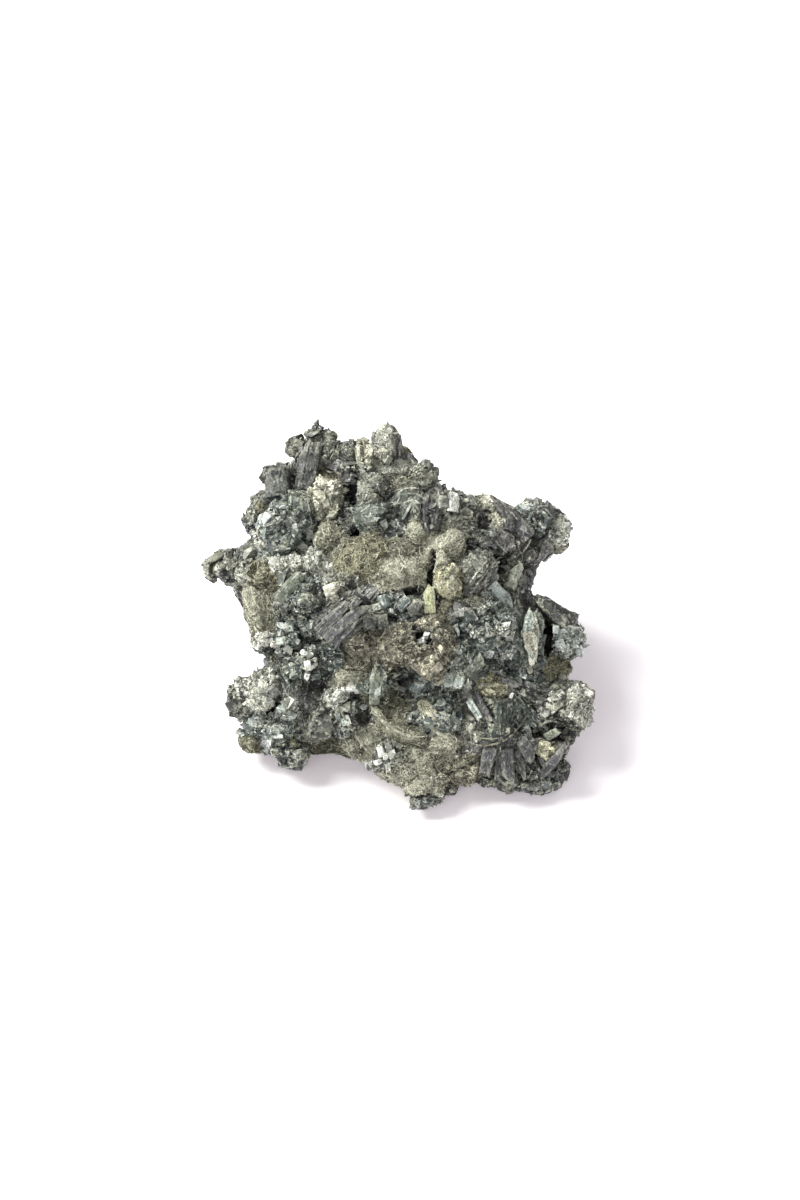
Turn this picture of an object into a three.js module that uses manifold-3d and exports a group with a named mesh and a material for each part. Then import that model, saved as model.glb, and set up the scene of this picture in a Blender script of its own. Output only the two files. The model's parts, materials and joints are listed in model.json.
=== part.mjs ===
// Raw prehnite: a loose hand specimen, 130 mm across, of one grown-together mass.
//
// Prehnite grows as crusts of round nodules, as fans of tabular blades and as blocky crystals on
// an older felted matrix. Nothing here is a separate piece, so the whole specimen is one solid.
//
// The specimen has one broad rough face, which leans back. Everything is placed in that face's own
// frame, in millimetres: u to the right, v up along the face, w out of it. The last step turns the
// face frame into the part's frame, +Z up, with the origin under the middle of the specimen.

import * as THREE from 'three';
import { mergeVertices } from 'three/addons/utils/BufferGeometryUtils.js';
import Module from 'manifold-3d';

const wasm = await Module();
wasm.setup();

// ---- Driving dimensions, in millimetres and degrees ----

const FACE_LEAN = 50; // how far the rough face is turned back from lying flat
const FACE_ORIGIN = [0, -11.2, 48.3]; // where the face frame's origin sits in the part's frame
const NODULE_JITTER = 0.16; // how far a nodule's corners stray, as a share of its radius
const CRYSTAL_JITTER = 0.08; // the same for the corners of a blocky crystal
const TRIM = 400; // side of the block that cuts the feet flat, larger than the specimen
const UNDERSIDE = 3; // height of the rough underside above the ground, between the feet
const UNDERSIDE_ROUGHNESS = 3; // how much higher than that its corners stray
const FACE_DOME = 11; // how far the face's dome stands out of its frame
const DOME_MIDDLE = -20; // how far up the face the dome's top is
const [DOME_FALL_ACROSS, DOME_FALL_ALONG] = [0.0075, 0.0055]; // its fall per square millimetre
const BODY_MIDDLE = new THREE.Vector3(0, -6, -26); // the spot that the body's skin is pushed out from
const BODY_DETAIL = 9; // how finely its skin is faceted
const BODY_SPREAD = new THREE.Vector3(50, 50, 38); // evens out how its corners are spread
const EVENING_ROUNDS = 30; // how many times each corner moves to the middle of those beside it
const BODY_JITTER = 0.8; // how far its corners stray
const NODULE_DEPTH = 9; // how deep under the masses' skin a nodule may be rooted
const MOST_GROWTH = 10; // how far a nodule may stand out of it
const NODULE_SINK = 0.4; // how deep the nodules' middles lie, as a share of their half-axis
const SOFTENING = 0.3; // how far each corner gives way to those beside it once the nodules stand
const LET_DOWN = 1.2; // how much lower that leaves the skin

// ---- Small tools ----

// A seeded random source, so that the specimen comes out the same each time.
function randomFrom(seed) {
  let state = (seed * 2654435761) >>> 0;
  return () => {
    state = (state + 0x6d2b79f5) >>> 0;
    let t = state;
    t = Math.imul(t ^ (t >>> 15), t | 1);
    t ^= t + Math.imul(t ^ (t >>> 7), t | 61);
    return ((t ^ (t >>> 14)) >>> 0) / 4294967296;
  };
}

const degrees = THREE.MathUtils.degToRad;
const FULL_TURN = 2 * Math.PI;
const GOLDEN_ANGLE = Math.PI * (3 - Math.sqrt(5)); // turns each next thing clear of those before it

// A closed three.js geometry as a solid that can be joined and cut.
function solidOf(geometry) {
  const bare = geometry.clone();
  bare.deleteAttribute('normal');
  bare.deleteAttribute('uv');
  const merged = mergeVertices(bare, 1e-4);
  return new wasm.Manifold(
    new wasm.Mesh({
      numProp: 3,
      vertProperties: new Float32Array(merged.attributes.position.array),
      triVerts: new Uint32Array(merged.index.array),
    }),
  );
}

// Moves each corner of a geometry by a random share of its distance from the middle.
function roughened(geometry, share, random) {
  const bare = geometry.clone();
  bare.deleteAttribute('normal');
  bare.deleteAttribute('uv');
  const merged = mergeVertices(bare, 1e-4);
  const position = merged.attributes.position;
  const corner = new THREE.Vector3();
  for (let i = 0; i < position.count; i++) {
    corner.fromBufferAttribute(position, i).multiplyScalar(1 + share * (2 * random() - 1));
    position.setXYZ(i, corner.x, corner.y, corner.z);
  }
  return merged;
}

// ---- Forms ----

// A nodule: a faceted ellipsoid of half-axes size, turned at random about its own middle.
function nodule(at, size, seed, detail = 1, jitter = NODULE_JITTER) {
  const random = randomFrom(seed);
  const ball = roughened(new THREE.IcosahedronGeometry(1, detail), jitter, random);
  ball.applyMatrix4(new THREE.Matrix4().makeRotationFromEuler(
    new THREE.Euler(FULL_TURN * random(), FULL_TURN * random(), FULL_TURN * random())));
  ball.scale(...size).translate(...at);
  return solidOf(ball);
}

// Where a crystal stands: turn is its direction in the face, 0 up and 90 to the left; rise is how
// far it leans out of the face; roll is its turn about its own length.
function stance(at, turn, rise, roll) {
  const turned = new THREE.Matrix4().makeRotationZ(degrees(turn));
  turned.multiply(new THREE.Matrix4().makeRotationX(degrees(rise)));
  turned.multiply(new THREE.Matrix4().makeRotationY(degrees(roll)));
  return turned.setPosition(...at);
}

// A tabular crystal with a bevelled tip, centred at its middle. size is [width, length, thickness].
function blade({ at, size, turn = 0, rise = 0, roll = 0, tip = 0.3 }) {
  const [width, length, thickness] = size;
  const [x, y] = [width / 2, length / 2];
  const outline = new THREE.Shape([
    new THREE.Vector2(-x, -y),
    new THREE.Vector2(x, -y),
    new THREE.Vector2(x, y * (1 - tip)),
    new THREE.Vector2(x * 0.45, y),
    new THREE.Vector2(-x * 0.6, y),
    new THREE.Vector2(-x, y * (1 - 1.5 * tip)),
  ]);
  const plate = new THREE.ExtrudeGeometry(outline, { depth: thickness, bevelEnabled: false });
  plate.translate(0, 0, -thickness / 2);
  plate.applyMatrix4(stance(at, turn, rise, roll));
  return solidOf(plate);
}

// A blocky crystal: a box with slightly strayed corners.
function block({ at, size, turn = 0, rise = 0, roll = 0, seed = 1 }) {
  const box = roughened(new THREE.BoxGeometry(...size), CRYSTAL_JITTER, randomFrom(seed));
  box.applyMatrix4(stance(at, turn, rise, roll));
  return solidOf(box);
}

// A fan: blades that spread from one root. Each stands out along its own direction.
function fan({ root, turn, spread, count, size, rise = 20, roll = 0, seed = 1 }) {
  const random = randomFrom(seed);
  return Array.from({ length: count }, (_, i) => {
    const share = count > 1 ? i / (count - 1) - 0.5 : 0;
    const heading = turn + spread * share;
    const grown = size.map((s) => s * (0.85 + 0.3 * random()));
    const out = new THREE.Vector3(0, grown[1] / 2, 0)
      .applyMatrix4(stance([0, 0, 0], heading, rise, 0));
    const at = [root[0] + out.x, root[1] + out.y, root[2] + out.z];
    return blade({ at, size: grown, turn: heading, rise, roll: roll + 25 * (random() - 0.5) });
  });
}

// A druse: blocky crystals standing out of the skin around a spot, spread by the golden angle.
function druse({ middle, reach, count, grain, seed = 1 }) {
  const random = randomFrom(seed);
  return Array.from({ length: count }, (_, i) => {
    const out = Math.sqrt((i + 0.5) / count);
    const angle = i * GOLDEN_ANGLE + seed;
    const [u, v] = [
      middle[0] + reach[0] * out * Math.cos(angle), middle[1] + reach[1] * out * Math.sin(angle)];
    const size = [0.9, 1.4, 0.8].map((s) => grain * s * (0.8 + 0.5 * random()));
    return block({
      at: onSkin(u, v, 0.1 * grain), size, turn: 360 * random(), rise: 60 * random(),
      roll: 60 * random(), seed: seed * 31 + i,
    });
  });
}

// ---- The body: masses that run into each other: [u, v, w, half-axes along u, v and w] ----

const masses = [
  [0, -2, -24, 42, 42, 34], [-22, 30, -34, 23, 25, 22], [-3, 38, -34, 13, 19, 20],
  [28, 22, -34, 20, 17, 20], [40, -11, -26, 18, 17, 24], [40, -35, -14, 20, 19, 20],
  [4, -42, -12, 15, 16, 20], [-37, -31, -22, 16, 12, 20], [-42, 11, -28, 15, 13, 18],
  [-36, 0, -22, 13, 14, 18], [-14, -39, -12, 13, 11, 16], [26, -46.5, -8, 14, 10, 14],
  [0, 4, -46, 44, 40, 22],
];

const up = new THREE.Vector3(0, Math.sin(degrees(FACE_LEAN)), Math.cos(degrees(FACE_LEAN)));
const heightOf = (corner) => corner.dot(up) + FACE_ORIGIN[2];

// How far along a ray an ellipsoid's far side lies, or 0 where the ray misses it.
function farSide(start, ray, [u, v, w, ...axes]) {
  const axis = new THREE.Vector3(...axes);
  const from = start.clone().sub(new THREE.Vector3(u, v, w)).divide(axis);
  const along = ray.clone().divide(axis);
  const [a, b, c] = [along.dot(along), from.dot(along), from.dot(from) - 1];
  const root = b * b - a * c;
  return root < 0 ? 0 : Math.max(0, (Math.sqrt(root) - b) / a);
}

// For each corner of a geometry, the corners that share an edge with it.
function neighbours(geometry) {
  const beside = Array.from({ length: geometry.attributes.position.count }, () => new Set());
  const triangles = geometry.index.array;
  for (let t = 0; t < triangles.length; t += 3) {
    const three = triangles.slice(t, t + 3);
    three.forEach((i) => three.forEach((other) => other !== i && beside[i].add(other)));
  }
  return beside.map((others) => [...others]);
}

// The body's skin: a faceted ball whose corners are pushed out from one spot to the farthest of
// the masses, and then, each along its own normal, to the farthest of the nodules over it.
function body() {
  const random = randomFrom(7);
  const ball = roughened(new THREE.IcosahedronGeometry(1, BODY_DETAIL), 0, random);
  const position = ball.attributes.position;
  const corner = (i) => new THREE.Vector3().fromBufferAttribute(position, i);
  const toSkin = (i, ray) => {
    const reach = Math.max(...masses.map((mass) => farSide(BODY_MIDDLE, ray, mass)));
    position.setXYZ(i, ...ray.multiplyScalar(reach).add(BODY_MIDDLE));
  };
  for (let i = 0; i < position.count; i++) toSkin(i, corner(i).multiply(BODY_SPREAD).normalize());
  const beside = neighbours(ball);
  for (let round = 0; round < EVENING_ROUNDS; round++) {
    const evened = beside.map((others) => others
      .reduce((sum, other) => sum.add(corner(other)), new THREE.Vector3())
      .divideScalar(others.length));
    evened.forEach((middle, i) => toSkin(i, middle.sub(BODY_MIDDLE).normalize()));
  }
  ball.computeVertexNormals();
  const grown = [...nodules, ...backNodules()];
  for (let i = 0; i < position.count; i++) {
    const outward = new THREE.Vector3().fromBufferAttribute(ball.attributes.normal, i);
    const spot = corner(i).addScaledVector(outward, -NODULE_DEPTH);
    const growth = Math.max(...grown.map((one) => farSide(spot, outward, one)));
    spot.addScaledVector(outward,
      THREE.MathUtils.clamp(growth, NODULE_DEPTH, NODULE_DEPTH + MOST_GROWTH) +
      BODY_JITTER * (2 * random() - 1));
    const sunk = UNDERSIDE + UNDERSIDE_ROUGHNESS * random() - heightOf(spot);
    if (sunk > 0) spot.addScaledVector(up, sunk);
    position.setXYZ(i, ...spot);
  }
  const softened = beside.map((others, i) => others
    .reduce((sum, other) => sum.add(corner(other)), new THREE.Vector3())
    .divideScalar(others.length).lerp(corner(i), 1 - SOFTENING));
  softened.forEach((spot, i) => position.setXYZ(i, ...spot));
  ball.deleteAttribute('normal');
  return solidOf(ball);
}

// How high an ellipsoid's front stands over a spot of the face, or nothing where it isn't over it.
function frontOf([u, v, w, a, b, c], spotU, spotV) {
  const inside = 1 - ((spotU - u) / a) ** 2 - ((spotV - v) / b) ** 2;
  return inside < 0 ? -Infinity : w + c * Math.sqrt(inside);
}

// A place on the masses' front. The whole face is domed about a spot below its middle, and no
// nodule is rooted far behind that dome.
function onFace(u, v, lift = 0) {
  const fall = DOME_FALL_ACROSS * u ** 2 + DOME_FALL_ALONG * (v - DOME_MIDDLE) ** 2;
  return [u, v, Math.max(FACE_DOME - fall, ...masses.map((mass) => frontOf(mass, u, v))) + lift];
}

// ---- What grows on it: [u, v, lift off the dome, half-axes along u, v and w] ----

const upperNodules = [
  [-41, 43, -4, 5, 7, 7], [-32, 48, -4, 4.5, 8, 7], [-34.5, 56.5, -1, 4, 3, 4], [-27, 59, -1, 4, 3.5, 5],
  [-23, 57, -2, 3.2, 3.5, 4], [-25.5, 42, 3, 5, 5.5, 6], [-48, 32, -2, 3, 5, 5], [-46, 39, -4, 3.5, 5, 6],
  [-40, 28, 2, 9, 7.5, 8], [-36, 37, 0, 6, 4.5, 6], [-14, 54, -1, 4.5, 4.5, 5], [-20, 51, -3, 4, 5, 5],
  [-5.5, 56, 1, 4, 7, 5], [-3.5, 61, 1, 2.6, 3, 3.5], [-10, 42, 3, 5.5, 6, 7], [0, 48, -1, 4.5, 4.5, 5],
  [8, 45.5, 0, 4.5, 4.5, 6], [3, 36, 3, 7, 6, 8], [-10, 33, 4, 6, 5, 6], [14, 36, 2, 4, 4, 5],
  [-24, 26, 3, 6, 5.5, 6], [6, 28, 4, 6, 4.5, 6], [16, 24, 5, 6, 7, 7],
];
const upperRightNodules = [
  [18, 37.5, -2, 5, 3.5, 6], [24, 36, 0, 4, 4, 5], [31, 36, -2, 4, 3.5, 5], [33, 29, 1, 5, 4.5, 5],
  [44, 32, 0, 5.5, 5.5, 7], [50, 31, -1, 5, 4.5, 6], [53, 26.5, -1, 4, 4.5, 6], [48, 23, -2, 4.5, 4, 6],
  [47, 18, -3, 3, 3, 5], [40, 23, -1, 5, 6, 6],
];
const leftNodules = [
  [-62, 17, 1, 3.2, 4, 4], [-57, 16, 1, 4.5, 5, 6], [-52, 18, 0, 5, 5.5, 7], [-47, 12, 2, 6, 7, 7],
  [-48, 0, 1, 5, 8, 8], [-45.5, -8, 2, 4, 4.5, 6], [-38, 16, 3, 6, 4, 6], [-29, 17, 4, 5, 4, 5],
  [-39, -12, 1, 4.5, 3.5, 6], [-36, -18, 0, 5, 4, 6], [-30, -15, 2, 4, 5, 5], [-35, 4, 3, 7, 6, 7],
];
const middleNodules = [
  [-12, 18, 1, 9, 7, 6], [0, 14, 4, 8, 6, 6], [-23, 8, 4, 5, 5, 6], [-19, -4, 3, 7, 7, 7],
  [15, 12, 6, 5, 7, 7], [0, -10, 3, 10, 7, 6], [14, -9, 4, 7, 6, 6], [10, -17, 5, 6, 5, 6],
  [-16, -20, 3, 6, 4, 5], [-29, -4, 2, 5, 5, 6],
];
const rightNodules = [
  [25, 23, 2, 6, 5, 7], [26, 13, 4, 7, 8, 8], [38, 12, -1, 4.5, 4.5, 6], [30, -2, 3, 8, 8, 8],
  [44, -8, 0, 5, 8, 7], [55, -9, 1, 5, 6.5, 7], [51, 1, -2, 6, 4, 6], [24, -17, 4, 6, 5, 6],
  [53, -18, 1, 5, 3.5, 6],
];
const lowerLeftNodules = [
  [-48, -28, 3, 7, 7, 8], [-55, -28, -2, 3, 4.5, 5], [-51, -37, 2, 4.5, 6, 6], [-48.5, -42.5, 0, 4, 4, 5],
  [-40, -42, -1, 6, 6, 7], [-34, -45.5, -2, 4, 5, 6], [-37, -32, 2, 6, 5, 7], [-28, -38, 1, 6, 5, 7],
  [-20, -28, 3, 6, 5, 6], [-20, -38, 0, 7, 5, 7],
];
const lowerNodules = [
  [-8, -25, 3, 4, 6, 5], [-5, -46, 4, 6, 5.5, 6], [6, -48, 4, 6, 7, 7], [7, -56, 3, 6.5, 6, 7],
  [16, -35, 3, 8, 7, 7], [20, -52, 1, 6, 5, 6], [-14, -45, 0, 6, 5, 6], [-6, -50, 1, 6, 5, 6],
  [3, -34, 2, 5, 5, 5], [26, -53, 2, 5, 4, 6],
];
const lowerRightNodules = [
  [32, -32, 3, 10, 11, 9], [58, -31, 2, 6, 8.5, 8], [52, -38, 0, 5, 5, 6], [48, -44, 2, 5, 6, 6],
  [51, -50, 6, 4.5, 5, 6], [46, -55, 9, 5, 4.5, 6], [39, -54.5, 8, 5, 3.5, 6], [33, -53.5, 5, 5, 3, 5],
];

const nodules = [
  upperNodules, upperRightNodules, leftNodules, middleNodules, rightNodules, lowerLeftNodules,
  lowerNodules, lowerRightNodules,
].flat().map(([u, v, lift, ...size]) => [...onFace(u, v, lift - size[2] * NODULE_SINK), ...size]);

// A place on the skin with its nodules grown, which the softening has let down a little.
function onSkin(u, v, lift = 0) {
  const [, , w] = onFace(u, v);
  return [u, v, Math.max(w, ...nodules.map((one) => frontOf(one, u, v))) - LET_DOWN + lift];
}

// Lumps that stand clear of the body at its rim.
const outcrops = [
  [-61.5, 17, 0, 3.6, 4, 4.5], [-56, 15, -2, 5.5, 6.5, 6.5], [-61, 20.5, -1, 2.6, 2, 3],
  [-14, 54.5, -3, 6, 4.8, 6], [-46.5, 31.5, -4, 5.8, 7.5, 7], [-45.5, -5, -5, 5, 8.5, 7],
  [-4.5, 56, -1, 4.5, 7.5, 6], [-3, 61, 0, 2.8, 3.2, 4],
  [44, 32, -2, 6, 6, 7], [51, 31, -3, 5.5, 4.5, 6], [53, 26, -3, 4, 5, 6],
  [-33.5, 57, -2, 4.6, 3.2, 5], [-27, 59, -2, 4.5, 4, 5],
  [-52, -28, -2, 6, 6.5, 8], [-49.5, -41.5, -1, 4.6, 5, 7], [-36, -46, -3, 5, 5, 6],
  [58, -31, -1, 6.5, 9, 9], [56, -9, -1, 4.5, 7, 8], [50.5, -52.5, 6, 6, 7, 8], [8, -56, 1, 7, 7, 8],
].map(([u, v, lift, ...size], i) => nodule(onFace(u, v, lift), size, 500 + i));

// Blocky and tabular crystals large enough to make out at arm's length.
const crystals = [
  block({ at: onSkin(-41.5, 44.5, 1), size: [8.5, 12, 8], turn: 4, rise: 12, seed: 2 }),
  block({ at: onSkin(-31.5, 49.5, 1), size: [6.5, 13, 8], turn: -6, rise: 8, seed: 3 }),
  block({ at: onSkin(-17, 46, -1), size: [4, 9, 5], turn: 4, rise: 10, seed: 4 }),
  blade({ at: onSkin(38, 33, 0), size: [7, 15, 4], turn: 40, rise: -15, roll: -12, tip: 0.35 }),
  blade({ at: onSkin(-19.5, -1, 0.6), size: [9, 15, 5], turn: -48, rise: 8, roll: 10 }),
  blade({ at: onSkin(10, 4.5, 1.2), size: [4, 8, 3], turn: -4, rise: 25, roll: 20 }),
  blade({ at: onSkin(33.5, 5.5, 1), size: [4, 11, 3], turn: 46, rise: 5, roll: -15 }),
  blade({ at: onSkin(44, -8, 1.2), size: [6.5, 17, 4], turn: 3, rise: 6, roll: 24, tip: 0.45 }),
  blade({ at: onSkin(-8, -24, 1.5), size: [4.2, 12, 4], turn: 2, rise: 10, roll: 30, tip: 0.15 }),
  blade({ at: onSkin(25, -31, 1.5), size: [3.5, 8, 2.5], turn: 38, rise: 5, roll: 10 }),
  blade({ at: onSkin(52, 1, 1), size: [6, 15, 4], turn: 58, rise: -8, roll: 10 }),
  blade({ at: onSkin(-36, 9, 1), size: [4, 12, 3.5], turn: -45, rise: 10, roll: 20 }),
  block({ at: onSkin(-22.5, 8, 1), size: [5, 5.5, 4], turn: 10, rise: 20, seed: 5 }),
  block({ at: onSkin(18, 37, 1), size: [4.5, 5.5, 4], turn: 8, rise: 15, seed: 6 }),
  block({ at: onSkin(6, 3, 0.5), size: [4, 4, 4], turn: 12, rise: 20, roll: 10, seed: 7 }),
  block({ at: onSkin(-3, 4, 0.5), size: [5, 4.5, 4], turn: -14, rise: 12, roll: 20, seed: 8 }),
  block({ at: onSkin(-8, -2, 0.5), size: [6, 5, 4], turn: 8, rise: 10, roll: 10, seed: 9 }),
  block({ at: onSkin(38.5, 12, 1), size: [8.5, 8, 3], turn: 22, rise: -10, roll: 10, seed: 10 }),
  block({ at: onSkin(24.5, -17, 1.5), size: [7.5, 6, 3.5], turn: 12, rise: -8, roll: 14, seed: 11 }),
  block({ at: onSkin(19, -22, 1.5), size: [7.5, 3, 3.5], turn: 20, rise: 10, roll: 10, seed: 12 }),
  block({ at: onSkin(-37, -7, 0.5), size: [6, 4, 4], turn: 12, rise: 10, roll: 20, seed: 13 }),
  block({ at: onSkin(-37, -31, 0.5), size: [5, 4, 4], turn: 30, rise: 20, roll: 10, seed: 14 }),
  ...fan({ root: onSkin(-36, 31, -2), turn: 5, spread: 70, count: 4, size: [4, 10, 3], rise: 12, seed: 21 }),
  ...fan({ root: onSkin(34, -39, 2), turn: 180, spread: 125, count: 5, size: [4.4, 14, 3.2], rise: -18,
    roll: 12, seed: 22 }),
  ...fan({ root: onSkin(9.5, 28, 0), turn: -6, spread: 40, count: 3, size: [3, 12, 4], rise: 5, roll: 60,
    seed: 23 }),
  ...fan({ root: onSkin(-20, -31, -1), turn: 20, spread: 90, count: 3, size: [4, 8, 3], rise: 25, seed: 24 }),
  ...fan({ root: onSkin(-5, -49, -1), turn: 10, spread: 150, count: 4, size: [3, 7, 3], rise: 35, seed: 25 }),
  ...fan({ root: onSkin(49, -42, 0), turn: -150, spread: 70, count: 2, size: [4, 9, 3], rise: 5, seed: 26 }),
];

// Nodules crusted with small crystals: [u, v, reach along u and v, how many, their size].
const crusts = [
  [-40, 28, 7, 6, 4, 5], [-27, 57, 6, 4, 3, 4.5], [-5, 57, 3, 5, 2, 4], [8, 45.5, 4, 3, 2, 4.5],
  [46, 31, 5, 4, 4, 4.6], [-46, 15, 8, 4, 3, 4.5], [-32, 3, 6, 5, 3, 5],
  [-35, -15, 5, 4, 2, 4.5], [30, -3, 7, 8, 4, 5], [55, -9, 4, 6, 2, 4.5], [-49, -29, 6, 6, 4, 5],
  [-44, -41, 8, 4, 4, 4.5], [56, -31, 6, 8, 4, 5], [46, -52, 7, 5, 4, 4.8], [8, -56, 5, 5, 2, 4.5],
  [16, -34, 6, 5, 1, 5],
].flatMap(([u, v, reachU, reachV, count, grain], i) =>
  druse({ middle: [u, v], reach: [reachU, reachV], count, grain, seed: 40 + i }));

// ---- The back and the sides, where the growth is coarser ----

const BACK_NODULES = 44;
const BACK_ROOTING = 3; // how deep under the masses' skin their middles lie
function backNodules() {
  const random = randomFrom(11);
  return Array.from({ length: BACK_NODULES }, (_, i) => {
    const out = (i + 0.5) / BACK_NODULES; // 1 straight out of the back, 0 sideways
    const side = Math.sqrt(1 - out * out);
    const ray = new THREE.Vector3(
      side * Math.cos(i * GOLDEN_ANGLE), side * Math.sin(i * GOLDEN_ANGLE), -out);
    const reach = Math.max(...masses.map((mass) => farSide(BODY_MIDDLE, ray, mass)));
    const at = ray.multiplyScalar(reach - BACK_ROOTING).add(BODY_MIDDLE);
    return [...at, ...[1, 0.9, 0.8].map((s) => s * (5.5 + 5 * random()))];
  });
}

// ---- Feet: lumps that reach the ground. [x, y, height of the middle, half-axes] ----

const feet = [
  [-42, -24, 6, 10, 8, 8], [9, -46, 5, 9, 8, 7], [42, -42, 6, 10, 8, 8], [-28, 29, 7, 14, 12, 10],
  [30, 31, 7, 13, 12, 10],
].map((lump, i) => nodule(lump.slice(0, 3), lump.slice(3), 400 + i));

const joined = (solids) => solids.reduce((sum, solid) => sum.add(solid));

const grown = joined([body(), ...outcrops, ...crystals, ...crusts]);

// From the face frame to the part's frame.
const stand = new THREE.Matrix4().makeRotationX(degrees(FACE_LEAN)).setPosition(...FACE_ORIGIN);

// Hollows that the growth has left open: [u, v, half-axes along u, v and w].
const HOLLOW_JITTER = 0.1;
const hollows = [
  [-41.5, 26.5, 2.8, 2.6, 5], [-16.5, 41, 3, 6, 9], [28, 31, 3, 3.8, 8], [49.5, -8.5, 2.8, 6, 9],
  [7, -8, 3.5, 3, 5], [33, 13, 2, 3.4, 8], [-12, -34, 3, 3.5, 7], [46, 25, 3.2, 2, 7],
  [54, -40, 3.4, 2.8, 7], [-43, -32, 2.2, 2.4, 5], [-29, -9, 4.5, 2.4, 6], [3, 8, 3.5, 1.8, 6],
  [10.5, 10, 1.3, 9, 7], [-35.3, 46, 1, 6, 6], [30, -44.5, 9, 1.6, 6], [-15.5, 27, 1.8, 1.8, 5],
].map(([u, v, ...size], i) => nodule(onSkin(u, v), size, 300 + i, 0, HOLLOW_JITTER));

const carved = hollows.reduce((sum, hollow) => sum.subtract(hollow), grown);

function geometryOf(solid) {
  const mesh = solid.getMesh();
  const geometry = new THREE.BufferGeometry();
  const position = new Float32Array(mesh.numVert * 3);
  for (let i = 0; i < mesh.numVert; i++) {
    position.set(mesh.vertProperties.subarray(i * mesh.numProp, i * mesh.numProp + 3), i * 3);
  }
  geometry.setAttribute('position', new THREE.BufferAttribute(position, 3));
  geometry.setIndex(new THREE.BufferAttribute(mesh.triVerts, 1));
  return geometry;
}

// Joined lumps shut small hollows in between them, which nothing outside can see. This keeps the
// outer skin, which is the shell with the most corners, and drops the hollows' own shells.
function withoutSealedHollows(geometry) {
  const triangles = geometry.index.array;
  const shell = Array.from({ length: geometry.attributes.position.count }, (_, i) => i);
  const shellOf = (i) => {
    while (shell[i] !== i) i = shell[i] = shell[shell[i]];
    return i;
  };
  for (let t = 0; t < triangles.length; t += 3) {
    shell[shellOf(triangles[t + 1])] = shellOf(triangles[t]);
    shell[shellOf(triangles[t + 2])] = shellOf(triangles[t]);
  }
  const corners = new Map();
  shell.forEach((_, i) => corners.set(shellOf(i), (corners.get(shellOf(i)) || 0) + 1));
  const outer = [...corners].reduce((most, next) => (next[1] > most[1] ? next : most))[0];
  const kept = [];
  for (let t = 0; t < triangles.length; t += 3) {
    if (shellOf(triangles[t]) === outer) kept.push(...triangles.slice(t, t + 3));
  }
  geometry.setIndex(kept);
  return geometry;
}

const upright = solidOf(geometryOf(carved).applyMatrix4(stand));
const footed = joined([upright, ...feet]);
const ground = new THREE.BoxGeometry(TRIM, TRIM, TRIM).translate(0, 0, -TRIM / 2);
const specimen = withoutSealedHollows(geometryOf(footed.subtract(solidOf(ground))));

// The box's middle comes over the origin.
specimen.computeBoundingBox();
const middle = specimen.boundingBox.getCenter(new THREE.Vector3());
specimen.translate(-middle.x, -middle.y, 0);

const stone = new THREE.MeshStandardMaterial({ color: '#7f8a80', roughness: 0.6, metalness: 0 });
const mesh = new THREE.Mesh(specimen, stone);
mesh.name = 'prehnite_specimen';

const part = new THREE.Group();
part.name = 'raw_prehnite';
part.add(mesh);

export default part;
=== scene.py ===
# %% [markdown]
# # A raw prehnite specimen
# Prehnite is a pale green silicate that grows as crusts of round nodules, as fans of tabular
# blades and as small blocky crystals. This hand specimen has all three, on a felted, dusty matrix.
# It is one grown-together mass, so the model is one faceted solid. This lesson dresses that solid:
# a finely broken body stands in for the solid itself, and thousands of small crystals, grains and
# fibres are rooted in it, each kind joined into one mesh.

# %% Load the solid
import json

import bpy
import numpy as np
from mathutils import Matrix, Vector
from mathutils.bvhtree import BVHTree

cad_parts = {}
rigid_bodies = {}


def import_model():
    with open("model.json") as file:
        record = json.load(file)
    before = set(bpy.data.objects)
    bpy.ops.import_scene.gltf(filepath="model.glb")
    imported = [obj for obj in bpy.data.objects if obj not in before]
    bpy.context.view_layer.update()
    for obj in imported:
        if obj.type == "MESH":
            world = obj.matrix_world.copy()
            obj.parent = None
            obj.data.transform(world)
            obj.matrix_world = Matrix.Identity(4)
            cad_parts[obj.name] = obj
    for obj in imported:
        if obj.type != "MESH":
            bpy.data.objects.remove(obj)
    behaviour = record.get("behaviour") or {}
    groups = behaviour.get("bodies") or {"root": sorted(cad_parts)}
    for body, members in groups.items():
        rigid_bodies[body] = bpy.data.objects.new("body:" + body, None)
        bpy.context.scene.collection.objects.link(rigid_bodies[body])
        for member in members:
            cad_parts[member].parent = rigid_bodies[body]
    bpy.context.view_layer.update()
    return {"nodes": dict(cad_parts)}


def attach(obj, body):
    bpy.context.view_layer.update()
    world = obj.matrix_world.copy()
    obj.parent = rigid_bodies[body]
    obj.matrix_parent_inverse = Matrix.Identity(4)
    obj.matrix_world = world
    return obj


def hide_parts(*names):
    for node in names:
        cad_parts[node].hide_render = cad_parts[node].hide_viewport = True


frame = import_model()
SOLID = "prehnite_specimen"

# %% [markdown]
# ## The face frame
# The specimen has one broad rough face that leans back. It is easiest to say where things are on
# that face in its own frame: u to the right, v up along the face and w out of it, in millimetres.
# The same three directions place the camera, which looks straight down w.

# %% The face frame
MM = 0.001
LEAN = np.radians(50)  # how far the face is turned up from lying flat
FACE_ORIGIN = np.array([-0.1, -11.4, 48.3])
FACE_U = np.array([1.0, 0.0, 0.0])
FACE_V = np.array([0.0, np.cos(LEAN), np.sin(LEAN)])
FACE_W = np.array([0.0, -np.sin(LEAN), np.cos(LEAN)])


def from_face(u, v, w):
    """A place in the face frame, as a point of the specimen's own frame, all in millimetres."""
    return FACE_ORIGIN + u * FACE_U + v * FACE_V + w * FACE_W


# %% The camera
CAMERA_DISTANCE = 1110  # millimetres out along the face's normal
CAMERA_HEIGHT = 4.67  # millimetres up the face that it looks at


def new_piece(name, held):
    """An object in the scene that holds this mesh, lamp or camera."""
    piece = bpy.data.objects.new(name, held)
    bpy.context.scene.collection.objects.link(piece)
    return piece


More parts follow.
